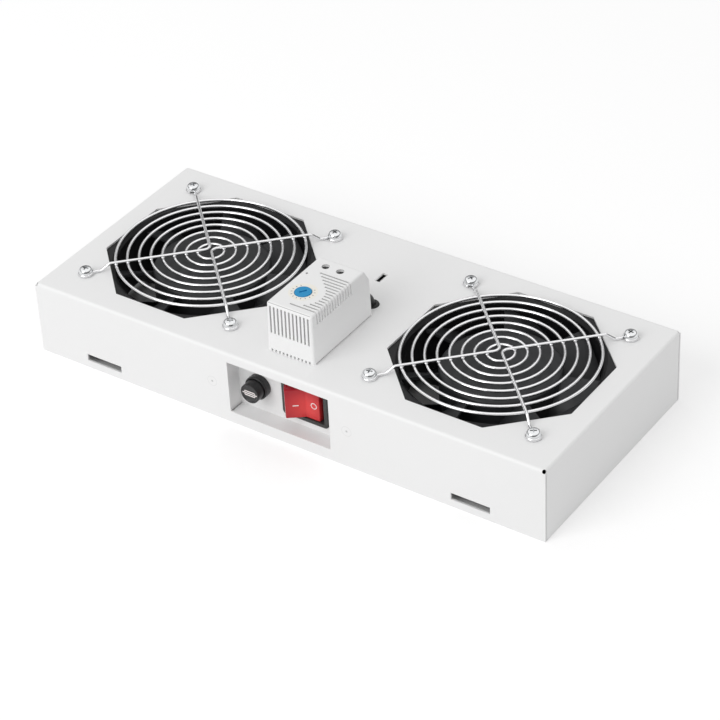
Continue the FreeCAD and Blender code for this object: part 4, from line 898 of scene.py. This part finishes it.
cap_bm = bmesh.new()
cap_back = plate_y - CAP_GAP
cap_line = [(0.0, cap_low[1] + CAP_DISH), (CAP_R * CAP_DISH_R, cap_low[1] + CAP_DISH)]
cap_line += rounded([(CAP_R * CAP_RIM_R, cap_low[1]), (CAP_R, cap_low[1]), (CAP_R, cap_back)],
                    CAP_EDGE_R, 5)
cap_line += [(CAP_NECK_R, cap_back), (CAP_NECK_R, cap_high[1]), (CAP_TAIL_R, cap_high[1]),
             (CAP_TAIL_R, link_front), (0.0, link_front)]
turn_profile(cap_bm, cap_line, fuse_axis, (0, 1, 0), 64)
add_piece("fuse_cap_knob", cap_bm, thermoset, "fuse_carrier", ["fuse_cap"])

sign_bm = bmesh.new()
sign_face = cap_low[1] + CAP_DISH


def add_bar(bm, width, height, at_x, at_z):
    """A flat bar of print on the cap's face."""
    size = Matrix.Diagonal((width, 2 * SIGN_T, height, 1.0))
    place = Matrix.Translation((fuse_axis.x + at_x, sign_face, fuse_axis.z + at_z))
    bmesh.ops.create_cube(bm, size=1.0, matrix=place @ size)


add_bar(sign_bm, SIGN_W, SIGN_LINE, 0.0, SIGN_H / 2)
add_bar(sign_bm, SIGN_W, SIGN_LINE, 0.0, -SIGN_H / 2)
add_bar(sign_bm, SIGN_LINE, SIGN_H, SIGN_W / 2, 0.0)
add_bar(sign_bm, SIGN_LINE, SIGN_H, -SIGN_W / 2, 0.0)
add_bar(sign_bm, SIGN_W * SIGN_LEADS, SIGN_LINE, 0.0, 0.0)
add_piece("fuse_sign", sign_bm, white_print, "fuse_carrier")

collar_bm = bmesh.new()
inner_r = CAP_R + CAP_PLAY
bore_end = collar_high[1] - COLLAR_END_T
collar_line = rounded([(inner_r, plate_y), (inner_r, collar_low[1]), (COLLAR_R, collar_low[1]),
                       (COLLAR_R, plate_y), (COLLAR_NECK_R, plate_y),
                       (COLLAR_NECK_R, collar_high[1]), (0.0, collar_high[1])], COLLAR_EDGE_R, 4)
collar_line += [(0.0, bore_end), (COLLAR_BORE_R, bore_end), (COLLAR_BORE_R, plate_y),
                (inner_r, plate_y)]
turn_profile(collar_bm, collar_line, fuse_axis, (0, 1, 0), 72)
add_piece("fuse_collar", collar_bm, thermoset, "tray", ["fuse_holder"])
dress(thermoset, "fuse_nut")
dress(tinned, "fuse_link")


# ---- thermostat ------------------------------------------------------------------------------
# A small enclosure thermostat: a pale grey ABS cover with louvres, ribs and a sloped rear end,
# screwed down over a base that carries the spindle, the bimetal strip and the terminals.
ABS_COLOUR = (0.84, 0.84, 0.84)
DIAL_R = 0.0049
DIAL_EDGE_R = 0.0004
DIAL_T = 0.0022
DIAL_SLOT_W = 0.0011
DIAL_SLOT_DEPTH = 0.0008
DIAL_SLOT_L = 0.0046
DIAL_SLOT_TURN = 56.0       # degrees round from the +X side
SPINDLE_R = 0.0020
SCALE_IN_R = 0.0052
SCALE_OUT_R = 0.0084
SCALE_T = 0.00005
GROOVE_DEPTH = 0.00045
GROOVE_REACH = 0.0140       # from the cover's middle to the edge of its flat top
GROOVE_FADE = 0.0003
GROOVE_SHADE = 0.75
GROOVE_DARK = (0.30, 0.30, 0.30, 1.0)
TICKS = 13
TICK_FROM = -225.0
TICK_SPAN = 270.0
TICK_L = 0.0010
TICK_W = 0.00042
TICK_R = 0.0066


def abs_material(name):
    return finish_material(name, ABS_COLOUR, 0.40, grains=2600.0, patches=20.0, shift=0.010,
                           uneven=0.06, bump=0.00001)


blue_plastic = finish_material("dial_blue", (0.020, 0.270, 0.540), 0.40, grains=2400.0,
                               patches=200.0, shift=0.06, uneven=0.05, specular=0.25)
cream_print = finish_material("cream_scale", (0.86, 0.83, 0.76), 0.45, grains=3000.0, shift=0.01)
grey_print = finish_material("grey_print", (0.20, 0.20, 0.21), 0.50, grains=3000.0, shift=0.05)
bimetal = finish_material("bimetal_strip", (0.58, 0.42, 0.28), 0.30, metallic=1.0, shift=0.10)
dress(abs_material("pale_abs"), "thermostat_base")
dress(bimetal, "thermostat_bimetal")
dress(zinc, "thermostat_terminals", "thermostat_screws", "inlet_screws")

turn_joint = next(j for j in frame["joints"] if j["name"] == "dial_turn")
dial_low, dial_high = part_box("thermostat_dial")
cover_low, cover_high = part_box("thermostat_cover")
cover_middle = (cover_low[0] + cover_high[0]) / 2
dial_axis = Vector((turn_joint["pos_m"][0], turn_joint["pos_m"][1], 0.0))


def cover_material():
    """The pale plastic, darker on the floors of the grooves in the top, where light falls short."""
    material = abs_material("ribbed_abs")
    tree = material.node_tree
    place = tree.nodes.new("ShaderNodeTexCoord")
    parts = tree.nodes.new("ShaderNodeSeparateXYZ")
    tree.links.new(place.outputs["Object"], parts.inputs["Vector"])
    sunk = calculated(tree, "SUBTRACT", cover_high[2], parts.outputs["Z"])
    below = ramped(tree, sunk, GROOVE_DEPTH * 0.4, GROOVE_DEPTH * 0.9, 0.0, GROOVE_SHADE)
    above = ramped(tree, sunk, GROOVE_DEPTH * 1.2, GROOVE_DEPTH * 1.4, 1.0, 0.0)
    across = calculated(tree, "SUBTRACT", parts.outputs["X"], cover_middle)
    across = calculated(tree, "ABSOLUTE", across)
    flat = ramped(tree, across, GROOVE_REACH, GROOVE_REACH + GROOVE_FADE, 1.0, 0.0)
    mask = calculated(tree, "MULTIPLY", calculated(tree, "MULTIPLY", below, above), flat)
    dark = tree.nodes.new("ShaderNodeMix")
    dark.data_type = "RGBA"
    dark.inputs[7].default_value = GROOVE_DARK
    tree.links.new(mask, dark.inputs[0])
    tree.links.new(tree.nodes["tint"].outputs[2], dark.inputs[6])
    tree.links.new(dark.outputs[2], tree.nodes["Principled BSDF"].inputs["Base Color"])
    return material


dress(cover_material(), "thermostat_cover")


def add_dial():
    top = dial_high[2]
    blank = bmesh.new()
    line = rounded([(0.0, top), (DIAL_R, top), (DIAL_R, top - DIAL_T)], DIAL_EDGE_R, 5)
    line += [(SPINDLE_R, top - DIAL_T), (SPINDLE_R, dial_low[2]), (0.0, dial_low[2])]
    turn_profile(blank, line, dial_axis, (0, 0, 1), 64)
    bmesh.ops.remove_doubles(blank, verts=blank.verts, dist=MERGE)
    bmesh.ops.recalc_face_normals(blank, faces=blank.faces)
    cutter = bmesh.new()
    size = Matrix.Diagonal((DIAL_SLOT_L, DIAL_SLOT_W, 2 * DIAL_SLOT_DEPTH, 1.0))
    at = Matrix.Translation(dial_axis + Vector((0.0, 0.0, top)))
    at = at @ Matrix.Rotation(math.radians(DIAL_SLOT_TURN), 4, "Z")
    bmesh.ops.create_cube(cutter, size=1.0, matrix=at @ size)
    mesh = cut_with(blank, cutter)
    bm = bmesh.new()
    bm.from_mesh(mesh)
    bpy.data.meshes.remove(mesh)
    add_piece("dial", bm, blue_plastic, "dial", ["thermostat_dial"])


def add_scale():
    """A printed cream ring round the dial, with grey ticks."""
    level = cover_high[2]
    ring = bmesh.new()
    line = [(SCALE_IN_R, level), (SCALE_OUT_R, level), (SCALE_OUT_R, level + SCALE_T),
            (SCALE_IN_R, level + SCALE_T), (SCALE_IN_R, level)]
    turn_profile(ring, line, dial_axis, (0, 0, 1), 72)
    add_piece("dial_scale", ring, cream_print, "tray")
    ticks = bmesh.new()
    for i in range(TICKS):
        turn = math.radians(TICK_FROM + TICK_SPAN * i / (TICKS - 1))
        spoke = Matrix.Rotation(turn, 4, "Z")
        size = Matrix.Diagonal((TICK_L, TICK_W, SCALE_T, 1.0))
        out = Matrix.Translation((TICK_R, 0.0, level + SCALE_T))
        place = Matrix.Translation(dial_axis) @ spoke @ out
        bmesh.ops.create_cube(ticks, size=1.0, matrix=place @ size)
    add_piece("dial_ticks", ticks, grey_print, "tray")


add_dial()
add_scale()


# ---- thermostat lead -------------------------------------------------------------------------
# A short round black lead leaves the back of the thermostat, bends down through a rubber grommet in
# the sheet and ends in an insulated push-on connector on the switch.
LEAD_D = 0.0046
LEAD_ROUTE = (
    (0.0094, -0.0073, 0.0591),
    (0.0094, 0.0075, 0.0591),
    (0.0094, 0.0075, 0.03025),
    (0.0174, -0.0102, 0.03025),
    (0.0174, -0.0230, 0.03025),
)

jacket = finish_material("cable_black", (0.018, 0.018, 0.019), 0.45, grains=1800.0, shift=0.12)
rubber = finish_material("grommet_rubber", (0.016, 0.016, 0.016), 0.62, grains=2200.0, shift=0.15)
sleeve = finish_material("red_sleeve", (0.52, 0.03, 0.03), 0.35, grains=1600.0, shift=0.06)
dress(rubber, "lead_grommet")
dress(sleeve, "lead_connector")

lead_curve = bpy.data.curves.new("thermostat_lead", "CURVE")
lead_curve.dimensions = "3D"
lead_curve.bevel_depth = LEAD_D / 2
lead_curve.bevel_resolution = 8
lead_curve.resolution_u = 16
lead_curve.use_fill_caps = True
lead_spline = lead_curve.splines.new("NURBS")
lead_spline.points.add(len(LEAD_ROUTE) - 1)
for target, point in zip(lead_spline.points, LEAD_ROUTE):
    target.co = (*point, 1.0)
lead_spline.order_u = 3
lead_spline.use_endpoint_u = True
lead_curve.materials.append(jacket)
lead = bpy.data.objects.new("lead", lead_curve)
scene.collection.objects.link(lead)
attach(lead, "tray")
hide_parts("thermostat_lead")


# ---- mains inlet -----------------------------------------------------------------------------
# A three-pole appliance inlet of black moulding with tinned pins, behind an opening of the rear
# wall and held to it by two zinc-plated screws.
dress(bezel_black, "inlet_body")
